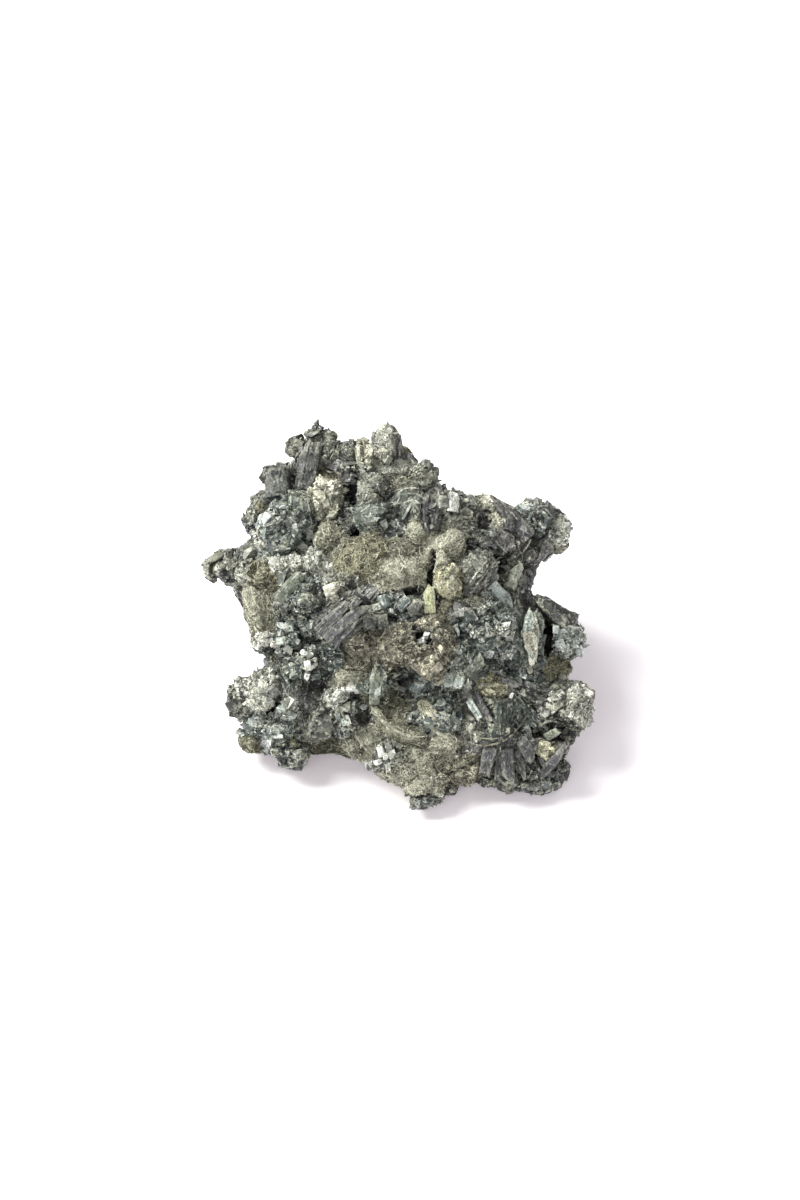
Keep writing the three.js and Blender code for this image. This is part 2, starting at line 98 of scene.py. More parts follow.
camera = new_piece("camera", bpy.data.cameras.new("camera"))
camera.data.lens = 100
camera.data.sensor_width = 36
camera.location = Vector(from_face(0, CAMERA_HEIGHT, CAMERA_DISTANCE) * MM)
camera.rotation_mode = "QUATERNION"
camera.rotation_quaternion = (-Vector(FACE_W)).to_track_quat("-Z", "Y")
camera.data.clip_start, camera.data.clip_end = 0.05, 20
bpy.context.scene.camera = camera
print("camera at", [round(x, 3) for x in camera.location])

# %% [markdown]
# ## Table and light
# A sheet that curves up behind would do as well, but from this high up a flat white table fills
# the view. One broad lamp from the upper left gives the crystals their bright and dark faces, and
# a bright sky keeps the shadows soft. The paper glows a little too: near the specimen that keeps
# the shadows pale, and far off it makes up for the lamps, which don't reach so far.

# %% The table
PAPER = (0.93, 0.925, 0.935)
NEAR_GLOW = (0.25, 0.218, 0.238)
FAR_GLOW = (0.62, 0.62, 0.62)
GLOW_FROM, GLOW_TO = 0.4, 2.5  # metres from the specimen
TABLE_HALF = 40.0  # metres, so that its edge is never seen
TABLE_DROP = 0.0002  # metres, which keeps it off the specimen's feet


def add_glow(tree, shader):
    """A faint light of the paper's own, which changes with the distance from the specimen."""
    away = tree.nodes.new("ShaderNodeVectorMath")
    away.operation = "LENGTH"
    far = tree.nodes.new("ShaderNodeMapRange")
    far.inputs["From Min"].default_value = GLOW_FROM
    far.inputs["From Max"].default_value = GLOW_TO
    glow = tree.nodes.new("ShaderNodeMix")
    glow.data_type = "RGBA"
    glow.inputs[6].default_value = (*NEAR_GLOW, 1)
    glow.inputs[7].default_value = (*FAR_GLOW, 1)
    tree.links.new(tree.nodes.new("ShaderNodeTexCoord").outputs["Object"], away.inputs[0])
    tree.links.new(away.outputs["Value"], far.inputs["Value"])
    tree.links.new(far.outputs["Result"], glow.inputs[0])
    tree.links.new(glow.outputs[2], shader.inputs["Emission Color"])
    shader.inputs["Emission Strength"].default_value = 1.0


def add_table():
    mesh = bpy.data.meshes.new("table")
    half = TABLE_HALF
    corners = [(-half, -half, 0), (half, -half, 0), (half, half, 0), (-half, half, 0)]
    mesh.from_pydata(corners, [], [(0, 1, 2, 3)])
    table = new_piece("table", mesh)
    table.location.z = -TABLE_DROP
    paper = bpy.data.materials.new("white_table")
    paper.use_nodes = True
    shader = paper.node_tree.nodes["Principled BSDF"]
    shader.inputs["Base Color"].default_value = (*PAPER, 1)
    shader.inputs["Roughness"].default_value = 0.9
    shader.inputs["Specular IOR Level"].default_value = 0.1
    add_glow(paper.node_tree, shader)
    mesh.materials.append(paper)
    return table


table = add_table()
print("table", 2 * TABLE_HALF, "metres wide")

# %% The lamps
AIM = Vector((0, 0, 0.04))  # metres, the middle of the specimen
SKY_STRENGTH = 0.48


def add_lamp(name, place, size, watts, colour):
    """A square soft lamp that points at the middle of the specimen."""
    lamp = new_piece(name, bpy.data.lights.new(name, "AREA"))
    lamp.data.shape, lamp.data.size = "SQUARE", size
    lamp.data.energy, lamp.data.color = watts, colour
    lamp.location = place
    lamp.rotation_mode = "QUATERNION"
    lamp.rotation_quaternion = (AIM - Vector(place)).to_track_quat("-Z", "Y")


add_lamp("window", place=(-0.80, 0.12, 1.04), size=0.75, watts=31, colour=(1.0, 0.99, 0.97))
add_lamp("fill", place=(-0.3, -1.2, 0.8), size=0.9, watts=6, colour=(0.99, 0.99, 1.0))
sky = bpy.data.worlds.new("sky")
sky.use_nodes = True
sky.node_tree.nodes["Background"].inputs["Color"].default_value = (1.0, 0.99, 1.0, 1)
sky.node_tree.nodes["Background"].inputs["Strength"].default_value = SKY_STRENGTH
bpy.context.scene.world = sky
bpy.context.scene.view_settings.view_transform = "Standard"
print("two lamps and a sky of strength", SKY_STRENGTH)

# %% [markdown]
# ## Noise to build with
# Blender's noise textures only live in shaders and modifiers. To push points about, and to decide
# which crystal grows where, the same kinds of noise are needed as numbers. A hash of whole-number
# lattice places gives repeatable random values: smooth noise blends them, and cell noise finds
# the nearest of a set of strewn points, which breaks space into grains.


# %% Lattice noise and cells
def hashed(lattice, salt):
    """A repeatable random number from 0 to 1 for each whole-number place, shape (n, 3)."""
    a = lattice.astype(np.int64).astype(np.uint32)
    h = a[:, 0] * np.uint32(374761393) + a[:, 1] * np.uint32(668265263)
    h = h + a[:, 2] * np.uint32(2246822519) + np.uint32((salt * 3266489917) % 2**32)
    h = (h ^ (h >> np.uint32(15))) * np.uint32(2246822519)
    h = (h ^ (h >> np.uint32(13))) * np.uint32(3266489917)
    h = h ^ (h >> np.uint32(16))
    return h.astype(np.float64) / 2**32


def smooth_noise(points, size, salt):
    """Smooth noise from -1 to 1 with lumps of about the given size."""
    p = points / size
    low = np.floor(p)
    t = p - low
    t = t * t * (3 - 2 * t)
    total = np.zeros(len(p))
    for corner in np.ndindex(2, 2, 2):
        weight = np.prod(np.where(corner, t, 1 - t), axis=1)
        total += weight * hashed(low + corner, salt)
    return 2 * total - 1


def layered_noise(points, size, layers, salt):
    """Smooth noise with finer and weaker layers on top."""
    total, weight = np.zeros(len(points)), 1.0
    for i in range(layers):
        total += weight * smooth_noise(points, size / 2**i, salt + 17 * i)
        weight *= 0.55
    return total / 1.6


def grains(points, size, salt):
    """For each point: its grain's own three random numbers, and where in the grain it lies, in
    grain sizes from the middle."""
    p = points / size
    base = np.floor(p)
    nearest = np.full(len(p), 9.0)
    own = np.zeros((len(p), 3))
    away = np.zeros((len(p), 3))
    for step in np.ndindex(3, 3, 3):
        cell = base + np.array(step) - 1
        random = np.stack([hashed(cell, salt + i) for i in (1, 2, 3)], axis=1)
        offset = p - (cell + random)
        distance = np.linalg.norm(offset, axis=1)
        closer = distance < nearest
        nearest = np.where(closer, distance, nearest)
        own[closer], away[closer] = random[closer], offset[closer]
    return own, away


# %% [markdown]
# ## What grows where
# Each patch of the specimen has its own growth: slate-dark blades, bright druse, beige felt. A
# finish says what colours a patch has, how its surface is broken and how thickly each kind of
# small crystal stands in it. Colours are given as the eye sees them and turned into linear light.


# %% The finishes
def linear(red, green, blue):
    """A screen colour, 0 to 255, as linear light."""
    c = np.array([red, green, blue]) / 255.0
    return np.where(c <= 0.04045, c / 12.92, ((c + 0.055) / 1.055) ** 2.4)


COLOURS = {
    # name: dark, middle and light
    "slate": ((28, 29, 31), (78, 79, 80), (156, 156, 151)),
    "white_druse": ((44, 48, 45), (146, 150, 140), (244, 245, 237)),
    "green_druse": ((14, 24, 25), (63, 76, 73), (205, 211, 206)),
    "fan": ((26, 34, 32), (80, 90, 83), (176, 184, 174)),
    "felt": ((66, 66, 54), (130, 130, 114), (196, 196, 176)),
    "olive": ((38, 38, 31), (89, 89, 74), (180, 177, 149)),
    "tan": ((47, 45, 37), (102, 99, 85), (180, 175, 154)),
    "grey": ((40, 43, 39), (100, 103, 95), (186, 187, 173)),
    "dark": ((11, 16, 18), (44, 51, 51), (138, 144, 138)),
    "cream": ((76, 77, 65), (148, 148, 130), (224, 223, 205)),
    "ridge": ((66, 66, 56), (134, 134, 114), (200, 200, 176)),
    "dusty": ((62, 62, 52), (135, 135, 119), (218, 217, 196)),
    "smooth": ((22, 22, 24), (62, 61, 62), (138, 136, 132)),
    "yellow": ((74, 73, 54), (148, 146, 117), (224, 221, 186)),
    "white": ((84, 86, 80), (180, 182, 171), (236, 237, 228)),
}
BROKEN = {
    # name: width and length of its grains in mm, their steps, their tilt, striae and crumbs in mm
    "slate": (3.0, 14.0, 1.4, 0.7, 0.45, 0.12),
    "white_druse": (3.0, 3.6, 1.5, 2.0, 0.05, 0.20),
    "green_druse": (3.0, 5.0, 1.3, 1.9, 0.15, 0.15),
    "fan": (1.7, 15.0, 0.7, 0.5, 0.40, 0.10),
    "felt": (3.0, 4.0, 0.5, 0.6, 0.10, 0.60),
    "olive": (2.8, 4.0, 0.6, 0.7, 0.20, 0.55),
    "tan": (2.6, 3.6, 1.1, 1.4, 0.0, 0.60),
    "grey": (3.4, 6.0, 1.0, 1.5, 0.25, 0.30),
    "dark": (3.0, 6.0, 1.4, 1.7, 0.25, 0.25),
    "cream": (3.0, 4.0, 1.0, 1.5, 0.05, 0.30),
    "ridge": (4.0, 14.0, 0.1, 0.1, 0.25, 0.15),
    "dusty": (3.6, 5.0, 0.5, 0.8, 0.20, 0.45),
    "smooth": (4.0, 9.0, 0.3, 0.4, 0.15, 0.12),
    "yellow": (2.6, 3.6, 1.0, 1.6, 0.10, 0.35),
    "white": (3.0, 4.0, 1.4, 1.8, 0.10, 0.25),
}
STANDS = {
    # name: share of places that grow slabs, blades, grains, fibres and dust
    "slate": (0.5, 0.25, 0.06, 0.0, 0.25),
    "white_druse": (0.6, 0.15, 1.0, 0.0, 0.3),
    "green_druse": (1.0, 0.20, 0.7, 0.0, 0.3),
    "fan": (0.2, 0.06, 0.1, 0.0, 0.3),
    "felt": (0.0, 0.0, 0.06, 0.2, 1.0),
    "olive": (0.0, 0.0, 0.04, 1.0, 0.4),
    "tan": (0.25, 0.0, 0.20, 0.04, 1.0),
    "grey": (0.7, 0.10, 0.35, 0.05, 0.7),
    "dark": (1.0, 0.20, 0.5, 0.0, 0.4),
    "cream": (0.5, 0.05, 0.4, 0.0, 0.8),
    "ridge": (0.0, 0.0, 0.01, 0.18, 0.5),
    "dusty": (0.1, 0.0, 0.08, 0.18, 1.0),
    "smooth": (0.05, 0.0, 0.06, 0.0, 0.3),
    "yellow": (0.3, 0.0, 0.4, 0.0, 0.8),
    "white": (0.5, 0.05, 0.6, 0.0, 0.4),
}
FINISHES = list(COLOURS)
TINTS = np.array([[linear(*colour) for colour in COLOURS[name]] for name in FINISHES])
SURFACE = np.array([BROKEN[name] for name in FINISHES])
THICKNESS = np.array([STANDS[name] for name in FINISHES])
KINDS = ("slabs", "blades", "grains", "fibres", "dust")
print(len(FINISHES), "finishes")

# %% [markdown]
# The rough face is an aggregate of lumps, each with one finish: a druzy knob, a bundle of blades
# that all run one way, a hollow. Each is set down one by one with its middle, its half length and
# half width, the way its grain runs and how far it rises. A point belongs to the lump that is
# nearest in lump sizes, so that lumps meet in crevices, and a little noise keeps those ragged.

# %% The lumps of the face
LUMPS = {
    # finish: (u, v, half length, half width, turn in degrees, rise) in millimetres, and how
    # much paler (or darker) a lump is than its finish usually is; some of these paint light onto
    # lumps that lie in shade, and shade into hollows
    "slate": [
        (-41.5, 44.5, 7.5, 5.2, 86, 2.2, -0.4), (-31.5, 49.5, 8, 4.6, 78, 2.2),
        (-20, 47.5, 5.0, 2.6, 140, 1.2, -0.2), (10, 34.5, 6, 2.2, 84, 1.0, -0.2),
        (-19.5, -1, 9.5, 4.6, 42, 2.6, -0.12), (27, -31, 6.5, 1.8, -62, 1.2),
        (43, -25.4, 5.0, 2.6, -18, 1.6, -0.15), (36.5, -23.8, 3.0, 2.0, -18, 1.2, -0.1),
        (29, -49.5, 5, 2.4, 258, 1.4, 0.1), (35.5, -49.5, 5, 2.4, 274, 1.4),
        (42, -45.5, 4.6, 2.5, 305, 1.2, -0.2), (51, -48.5, 5.5, 2.0, 48, 1.4),
        (-9, -1.5, 3.2, 3, 10, 0.8, -0.2), (-1.5, 53, 6, 2.2, 88, 1.0),
        (49.5, 22, 3.8, 3.2, 60, 2.2, 0.2),
    ],
    "white_druse": [
        (18, 37, 3.4, 2.2, 85, 1.6), (-30, -15, 4.4, 1.8, 65, 1.2, -0.1),
        (-4, -46.5, 4.6, 4, 80, 1.5, -0.2), (20, -21.5, 3.4, 3, 90, 1.6),
        (-20, -28, 4.2, 2.4, 20, 1.2, 0.15), (-22.5, 8, 3, 2.4, 20, 0.8, -0.2),
        (53.2, 27, 4.8, 3.8, 70, 1.8, 0.25), (-36.5, -31, 2.6, 2.2, 0, 1.0),
        (12.5, 42.2, 3.4, 2.2, 0, 2.0, 0.8), (32.5, -6, 3.4, 3, 90, 1.0),
        (22, 1.5, 2.6, 2.2, 0, 1.2, 0.3),
    ],
    "green_druse": [
        (-31, 4, 5, 4.4, 30, 1.4, -0.2), (27, -3, 8, 6, 90, 1.6, -0.04),
        (44.5, 32.2, 5.2, 4.8, 60, 2.2, 0.1), (-45, -38, 6.5, 5, 0, 1.5, 0.2),
        (15, -33.5, 6, 6, 60, 1.6, 0.02), (57, -9, 5.5, 4.4, 90, 2.2, 0.15),
        (-40, 28.5, 8.5, 7, 30, 3.0, 0.08), (1, 2, 5, 4, 0, 0.8, -0.2),
        (-37, -6.5, 4.4, 2.8, 20, 1.5, 0.12), (40, -19, 6, 4.6, 0, 1.4, 0.15),
        (6.5, -24, 2.8, 2.6, 0, 1.0), (-24, -13, 4.5, 4, 0, 0.8, -0.3),
        (37, -13, 4.5, 4.5, 0, 1.2, 0.25),
    ],
    "fan": [
        (-36.5, -18.5, 3.6, 3.2, 0, 1.4, -0.2), (-36, 37, 5.5, 5.5, 100, 1.5),
        (-10, 33.5, 6.5, 4, 28, 1.6), (-36, 9, 6.5, 3, 48, 1.5), (5, 35, 4.5, 5, 50, 1.4, -0.2),
        (-1, 38, 3.5, 2.0, 40, 1.0, -0.12), (-18, -32, 4.4, 4, 100, 1.6, -0.2),
        (44, -8, 9, 3.6, 85, 1.4), (-8, -24, 6.5, 2.6, 88, 1.2), (33, -33, 8, 6.6, 262, 2.4, -0.34),
    ],
    "felt": [
        (-24.5, 26.5, 5.6, 4.8, 70, 1.8, -0.2), (5, 27.5, 4, 3.8, 0, 1.6, 0.04),
        (16.6, 23.2, 6.3, 5, 60, 2.4, 0.2), (-49, 0, 7.5, 5, 100, 1.2),
        (-50.5, 8, 3.6, 3, 100, 1.4, 0.1), (1, 14, 7.5, 4.6, 10, 1.4, 0.14),
        (0, 21.5, 4.5, 3, 0, 0.6, -0.2),
    ],
    "olive": [
        (-12, 19.5, 6.6, 4.8, 45, 0.6), (-46.5, 12.5, 4.8, 3.6, 60, 0.8, -0.08),
        (-46.5, 36, 4.5, 1.8, 86, 1.0), (-3, -31.5, 4.5, 3.2, 80, -1.6),
        (-24, -44, 6, 3.4, 10, -0.8, -0.36), (53.5, -18, 5, 3, 20, 1.6),
        (-50, -43.5, 3.2, 3, 0, 1.6, -0.15), (-36, -44, 2, 2, 0, 0.6),
    ],
    "tan": [
        (8.5, -2.4, 3.6, 2.2, 10, 1.0, 0.3), (0, -10, 8.5, 5.5, 10, 1.0, -0.08),
        (14, -9, 4.5, 3.5, 80, 1.2), (9.5, -17, 5, 4, 60, 1.4, 0.2), (-12, -13, 4.5, 4, 0, 0.8),
        (20.5, -54, 5.5, 3.8, 10, 1.2),
    ],
    "grey": [
        (-53.6, -32, 5.0, 3.6, -64, 2.6, -0.35), (-8.5, 41, 5.5, 4.6, 70, 1.8, -0.1),
        (-53.5, 13, 3.4, 3, 60, 1.2, 0.15), (23.5, -35.5, 7, 4.4, 118, 2.6, 0.25),
        (-19, 10.5, 4, 3, 30, 0.8), (8, 46.5, 4.5, 4, 80, 1.6, -0.05),
        (-5.5, 57.5, 6, 4.0, 92, 1.6, 0.28), (-23.5, 59, 3.8, 3.2, 60, 1.6, -0.22),
        (-36.0, 56.0, 4.4, 3.2, 155, 2.0, -0.35), (-29.5, 59.5, 4, 3.4, 95, 1.0, -0.2),
        (-19, 54.5, 4.5, 3.6, 110, 1.2, -0.2), (0, 49, 3.8, 2.8, 0, 1.4, 0.3),
        (20, 31, 4, 3, 20, 1.4, 0.2), (24, 37.5, 4, 3, 0, 1.2, -0.15),
        (26, 13.5, 7.5, 5.4, 60, 2.0, -0.15), (-28, -38, 6, 5, 30, 1.4, -0.15),
        (34, -56.4, 8, 2.6, 5, 2.0, -0.32), (-56.5, 17.5, 4, 3.2, 20, 1.2, -0.3),
        (-52, 21, 3.4, 3, 40, 1.2, -0.15), (38, 12, 4.5, 4, 95, 1.2), (56.5, -24, 4, 3, 0, 1.0, 0.05),
    ],
    # most of these are hollows, and their dark colour is partly painted shade
    "dark": [
        (-49, 32, 4.4, 3.0, 80, 1.8, -0.05), (-36, -13, 5, 2.6, 10, -0.6),
        (-38, 1, 4, 3, 120, 0.6, -0.15), (49.4, 27.2, 4.4, 1.3, 72, -1.6, 0.15),
        (27.5, 22.5, 4.8, 4, 0, 1.0, -0.2), (-2, 30, 4, 3, 0, 0.2),
        (-18, 30.5, 3.2, 4.6, 20, -0.8, -0.15), (46, 25, 3.4, 2.2, 0, 0.2, 0.4),
        (-30, -8, 5.2, 3.9, 0, -1, 0.15), (-37, -47, 6.5, 4.5, 0, 1.2), (7, -62, 5, 2, 0, 0.8),
        (48, -57, 5.5, 3.4, 0, 1.2), (32.2, 13.4, 5.4, 2.8, 62, -6.5, -0.4), (-43, -13, 4, 2, 30, 0.6),
        (4, 6.5, 4.5, 1.6, 0, -1.8), (2, -22.5, 4.7, 3.9, 0, -2),
        (52.5, -39.5, 6.5, 4.4, 0, -4.8, -0.15), (-20, -38, 4.6, 3.2, 10, 0.2),
        (-10.5, -34, 4.0, 2.4, 80, -1.2, -0.05), (49.2, -8.8, 7.6, 3.2, 90, -5.2, -0.3),
        (10.6, 9, 13, 1.4, 87, -4.6), (-16.5, 40.5, 7.8, 3.6, 80, -1.6, 0.05),
        (-40.8, 27, 5.4, 3.9, 15, -4.2), (-43.2, -31.5, 3.2, 2.4, 40, -3.0, -0.2),
        (-15.3, 27, 3.9, 3.1, 20, -3.4, -0.3), (13.2, 32.3, 3.2, 2.3, 0, -4, -0.2),
        (-2, -1, 2.3, 2.1, 0, -1.5), (7, -7.5, 4.4, 3.9, 0, -2), (35.6, 39.4, 4.7, 3.6, -30, -5),
        (41, -57.5, 4, 3, 0, 1.0),
    ],
    "cream": [
        (-25.5, 41.6, 6.4, 4.8, 75, 2.2, 0.2), (33.4, 31, 4.4, 1.8, 112, 1.2, 0.2),
        (29.0, 37.8, 5.4, 3.2, 0, 2.4, 0.45), (-22.5, 35.8, 3.6, 2.4, 84, 1.6, 0.05),
        (-12, 53.5, 4.6, 3.8, 90, 1.5, 0.2), (-61, 20, 2.4, 2, 0, 1.0, -0.2),
    ],
    "ridge": [
        (-7, -33, 4.5, 1.6, -56, 1.4, -0.15), (-2.5, -38, 4, 1.8, -40, 1.4),
        (5, -41, 6, 2, -5, 1.6, -0.3), (10, -33, 6.5, 2.0, -68, 2.0, 0.2),
        (20, -49.5, 5, 1.6, 30, 0.8), (-10, -27.5, 3, 1.4, -70, 0.8),
    ],
    "smooth": [
        (-50.5, 35.5, 3.6, 2.6, 90, 0.8, -0.2), (28, -43.4, 8, 1.3, 4, 0.2, -0.1),
        (35.5, -40.4, 7, 1.3, 30, 0.2, -0.1), (-62.4, 16.0, 4.8, 4.4, 0, 3.4, -0.5),
        (-31, -27, 4, 3, 80, 0.6, -0.45), (37, 33, 7, 3.2, 128, -0.6, -0.1),
        (-17, -33.6, 5.5, 2.4, -38, -0.4, -0.3), (17, -58, 3.4, 2.2, 0, 2.6, -0.45),
        (51.5, 1.5, 8.5, 3.2, -38, 1.6, -0.5), (45, 19, 4.2, 3.4, 30, 2.2, -0.5),
        (-41, -47.5, 3, 2, 0, 0.8), (36, 27.5, 4.5, 2.6, 60, 0.8, 0.3),
        (28.2, 31.4, 4.2, 3.4, 30, 2.6, 0.06), (-13, -35, 6, 2.2, -42, -0.2, 0.3),
    ],
    "white": [
        (-47.0, -26.4, 5.2, 4.6, 100, 2.0, -0.15), (60.0, -30, 7.4, 4.2, 95, 2.4, -0.14),
        (-46.8, 25, 4.4, 1.3, -62, 1.4, 0.08), (-34, 25.5, 4.5, 1.2, -65, 1.2, 0.1),
        (-37.4, 17.5, 6.6, 2.9, 8, 1.8, 0.28), (-28.5, 18, 4, 3.2, 60, 1.6, 0.02),
        (-46.5, -8.5, 3.2, 2.6, 0, 1.2, 0.2), (51.5, -30.3, 3.4, 1.5, 60, 1.2),
    ],
    "yellow": [
        (15.8, 11.4, 5.3, 3.6, 88, 2.0, -0.04), (32, -26, 4.6, 3.6, 0, 1.0, -0.1),
        (48.5, -44.5, 3.6, 2.6, 0, 1.6, 0.1),
    ],
    "dusty": [
        (0, 44, 4, 3.4, 0, 0.2, -0.15), (-15.5, -20.6, 5.0, 2.0, 8, 1.0, -0.1),
        (5.5, -53, 7, 6.5, 90, 2.4, 0.06), (14, -50, 4, 4.6, 90, 1.2),
        (-12, -42, 6, 4, 20, 1.4, -0.25), (15, -42, 5, 3, 0, 1.4, 0.02),
        (-15, -49, 5.5, 3.0, -30, 3.2, -0.45), (24, 4, 3, 2.4, 0, 0.6),
    ],
}
REST_LUMPS = 260  # strewn over the sides, the back and the underside
REST_MIX = (
    "grey", "dark", "green_druse", "white_druse", "slate", "dusty", "fan", "olive", "dark",
    "dusty", "slate",
)
print(sum(len(spots) for spots in LUMPS.values()), "lumps set down by hand")


# %% Spots of the solid's skin
def solid_tree():
    """The solid's triangles, in millimetres, for rays and nearest points."""
    mesh = frame["nodes"][SOLID].data
    corners = [v.co / MM for v in mesh.vertices]
    return BVHTree.FromPolygons(corners, [tuple(p.vertices) for p in mesh.polygons])


SKIN = solid_tree()
ABOVE = 90  # millimetres along w, clear of the face; rays start there
BESIDE = -16  # millimetres along w, about as deep as the rim lies


def on_skin(u, v):
    """The spot of the solid's skin that faces out at u, v, or the nearest one past the rim."""
    hit = SKIN.ray_cast(Vector(from_face(u, v, ABOVE)), -Vector(FACE_W))[0]
    if hit is None:
        hit = SKIN.find_nearest(Vector(from_face(u, v, BESIDE)))[0]
    return np.array(hit)


def along_face(turn):
    """The direction in the face that lies turn degrees round from the right."""
    return np.cos(np.radians(turn)) * FACE_U + np.sin(np.radians(turn)) * FACE_V


def unit(vectors):
    """The same directions with length one."""
    return vectors / np.linalg.norm(vectors, axis=-1, keepdims=True)


# %% Every lump
REST_CENTRE = np.array([0, 4, 34])  # millimetres, deep inside, where the rest's rays start
SHADE = 0.11  # painted shade: how much darker a recess is for each millimetre that it sinks


def face_lumps():
    """The listed lumps: middle, three directions, half sizes, rise, finish, paleness."""
    rows = []
    for name, spots in LUMPS.items():
        for u, v, long, wide, turn, rise, *paler in spots:
            along = along_face(turn)
            axes = (np.cross(along, FACE_W), along, FACE_W)
            halves = (wide, long, 1.2 * wide + 2.5)
            rows.append((on_skin(u, v), axes, halves, rise, name, paler[0] if paler else 0.0))
    return rows


def rest_lumps():
    """Lumps all round the rest, on rays that a golden spiral spreads evenly."""
    random = np.random.default_rng(5)
    rows = []
    for i in range(REST_LUMPS):
        z = 1 - 2 * (i + 0.5) / REST_LUMPS
        turn = i * np.pi * (3 - np.sqrt(5))  # the golden angle
        ray = np.array([np.sqrt(1 - z * z) * np.cos(turn), np.sqrt(1 - z * z) * np.sin(turn), z])
        hit = SKIN.ray_cast(Vector(REST_CENTRE + 150 * ray), -Vector(ray))[0]
        if ray @ FACE_W > 0.1 or hit is None:
            continue
        along = unit(np.cross(ray, random.normal(size=3)))
        long = random.uniform(4.0, 8.0)  # millimetres, half its length
        wide = long * random.uniform(0.5, 0.95)
        name = REST_MIX[int(random.integers(len(REST_MIX)))]
        rise = random.uniform(-0.8, 2.2)
        axes = (np.cross(along, ray), along, ray)
        rows.append((np.array(hit), axes, (wide, long, wide + 2), rise, name, -0.1))
    return rows


MIDDLES, AXES, HALVES, RISES, NAMES, PALER = (
    np.array(column) for column in zip(*face_lumps(), *rest_lumps()))
LUMP_FINISH = np.array([FINISHES.index(name) for name in NAMES])
PALER = PALER + SHADE * np.minimum(RISES + 0.6, 0)  # painted shade: sunken lumps darker the deeper they sink
print(len(MIDDLES), "lumps")


# %% Which lump a point belongs to
RAGGED = 1.5  # millimetres by which noise moves the borders


def lump_at(points):
    """The lump each point belongs to, how far out in it the point lies (0 to 1 and beyond), the
    next lump, and how much farther off that one is."""
    ragged = np.stack([layered_noise(points, 5, 2, salt) for salt in (3, 5, 7)], axis=1)
    moved = points + RAGGED * ragged
    best, second = np.full(len(points), 1e9), np.full(len(points), 1e9)
    which, following = np.zeros(len(points), int), np.zeros(len(points), int)
    for i in range(len(MIDDLES)):
        away = (moved - MIDDLES[i]) @ AXES[i].T / HALVES[i]
        distance = np.sqrt(np.einsum("ij,ij->i", away, away))
        closer = distance < best
        following = np.where(closer, which, np.where(distance < second, i, following))
        second = np.where(closer, best, np.minimum(second, distance))
        best[closer] = distance[closer]
        which[closer] = i
    return which, best, following, second - best


FAN = FINISHES.index("fan")


def grainwise(points, which):
    """Each point in its lump's own frame in millimetres: across the grain, along it and outward.
    In a fan the grain runs out from a root at the lump's near end."""
    away = points - MIDDLES[which]
    own = np.einsum("ij,ikj->ik", away, AXES[which])
    fanned = LUMP_FINISH[which] == FAN
    long = HALVES[which, 1]
    reach = own[:, 1] + 1.5 * long
    turned = np.arctan2(own[:, 0], reach) * 1.5 * long
    own[:, 1] = np.where(fanned, np.hypot(own[:, 0], reach), own[:, 1])
    own[:, 0] = np.where(fanned, turned, own[:, 0])
    return own


def grain_direction(places, which):
    """The way the grain of each place's lump runs; in a fan, away from its root."""
    along = AXES[which, 1]
    root = MIDDLES[which] - along * (1.5 * HALVES[which, 1])[:, None]
    fanned = (LUMP_FINISH[which] == FAN)[:, None]
    return np.where(fanned, unit(places - root), along)
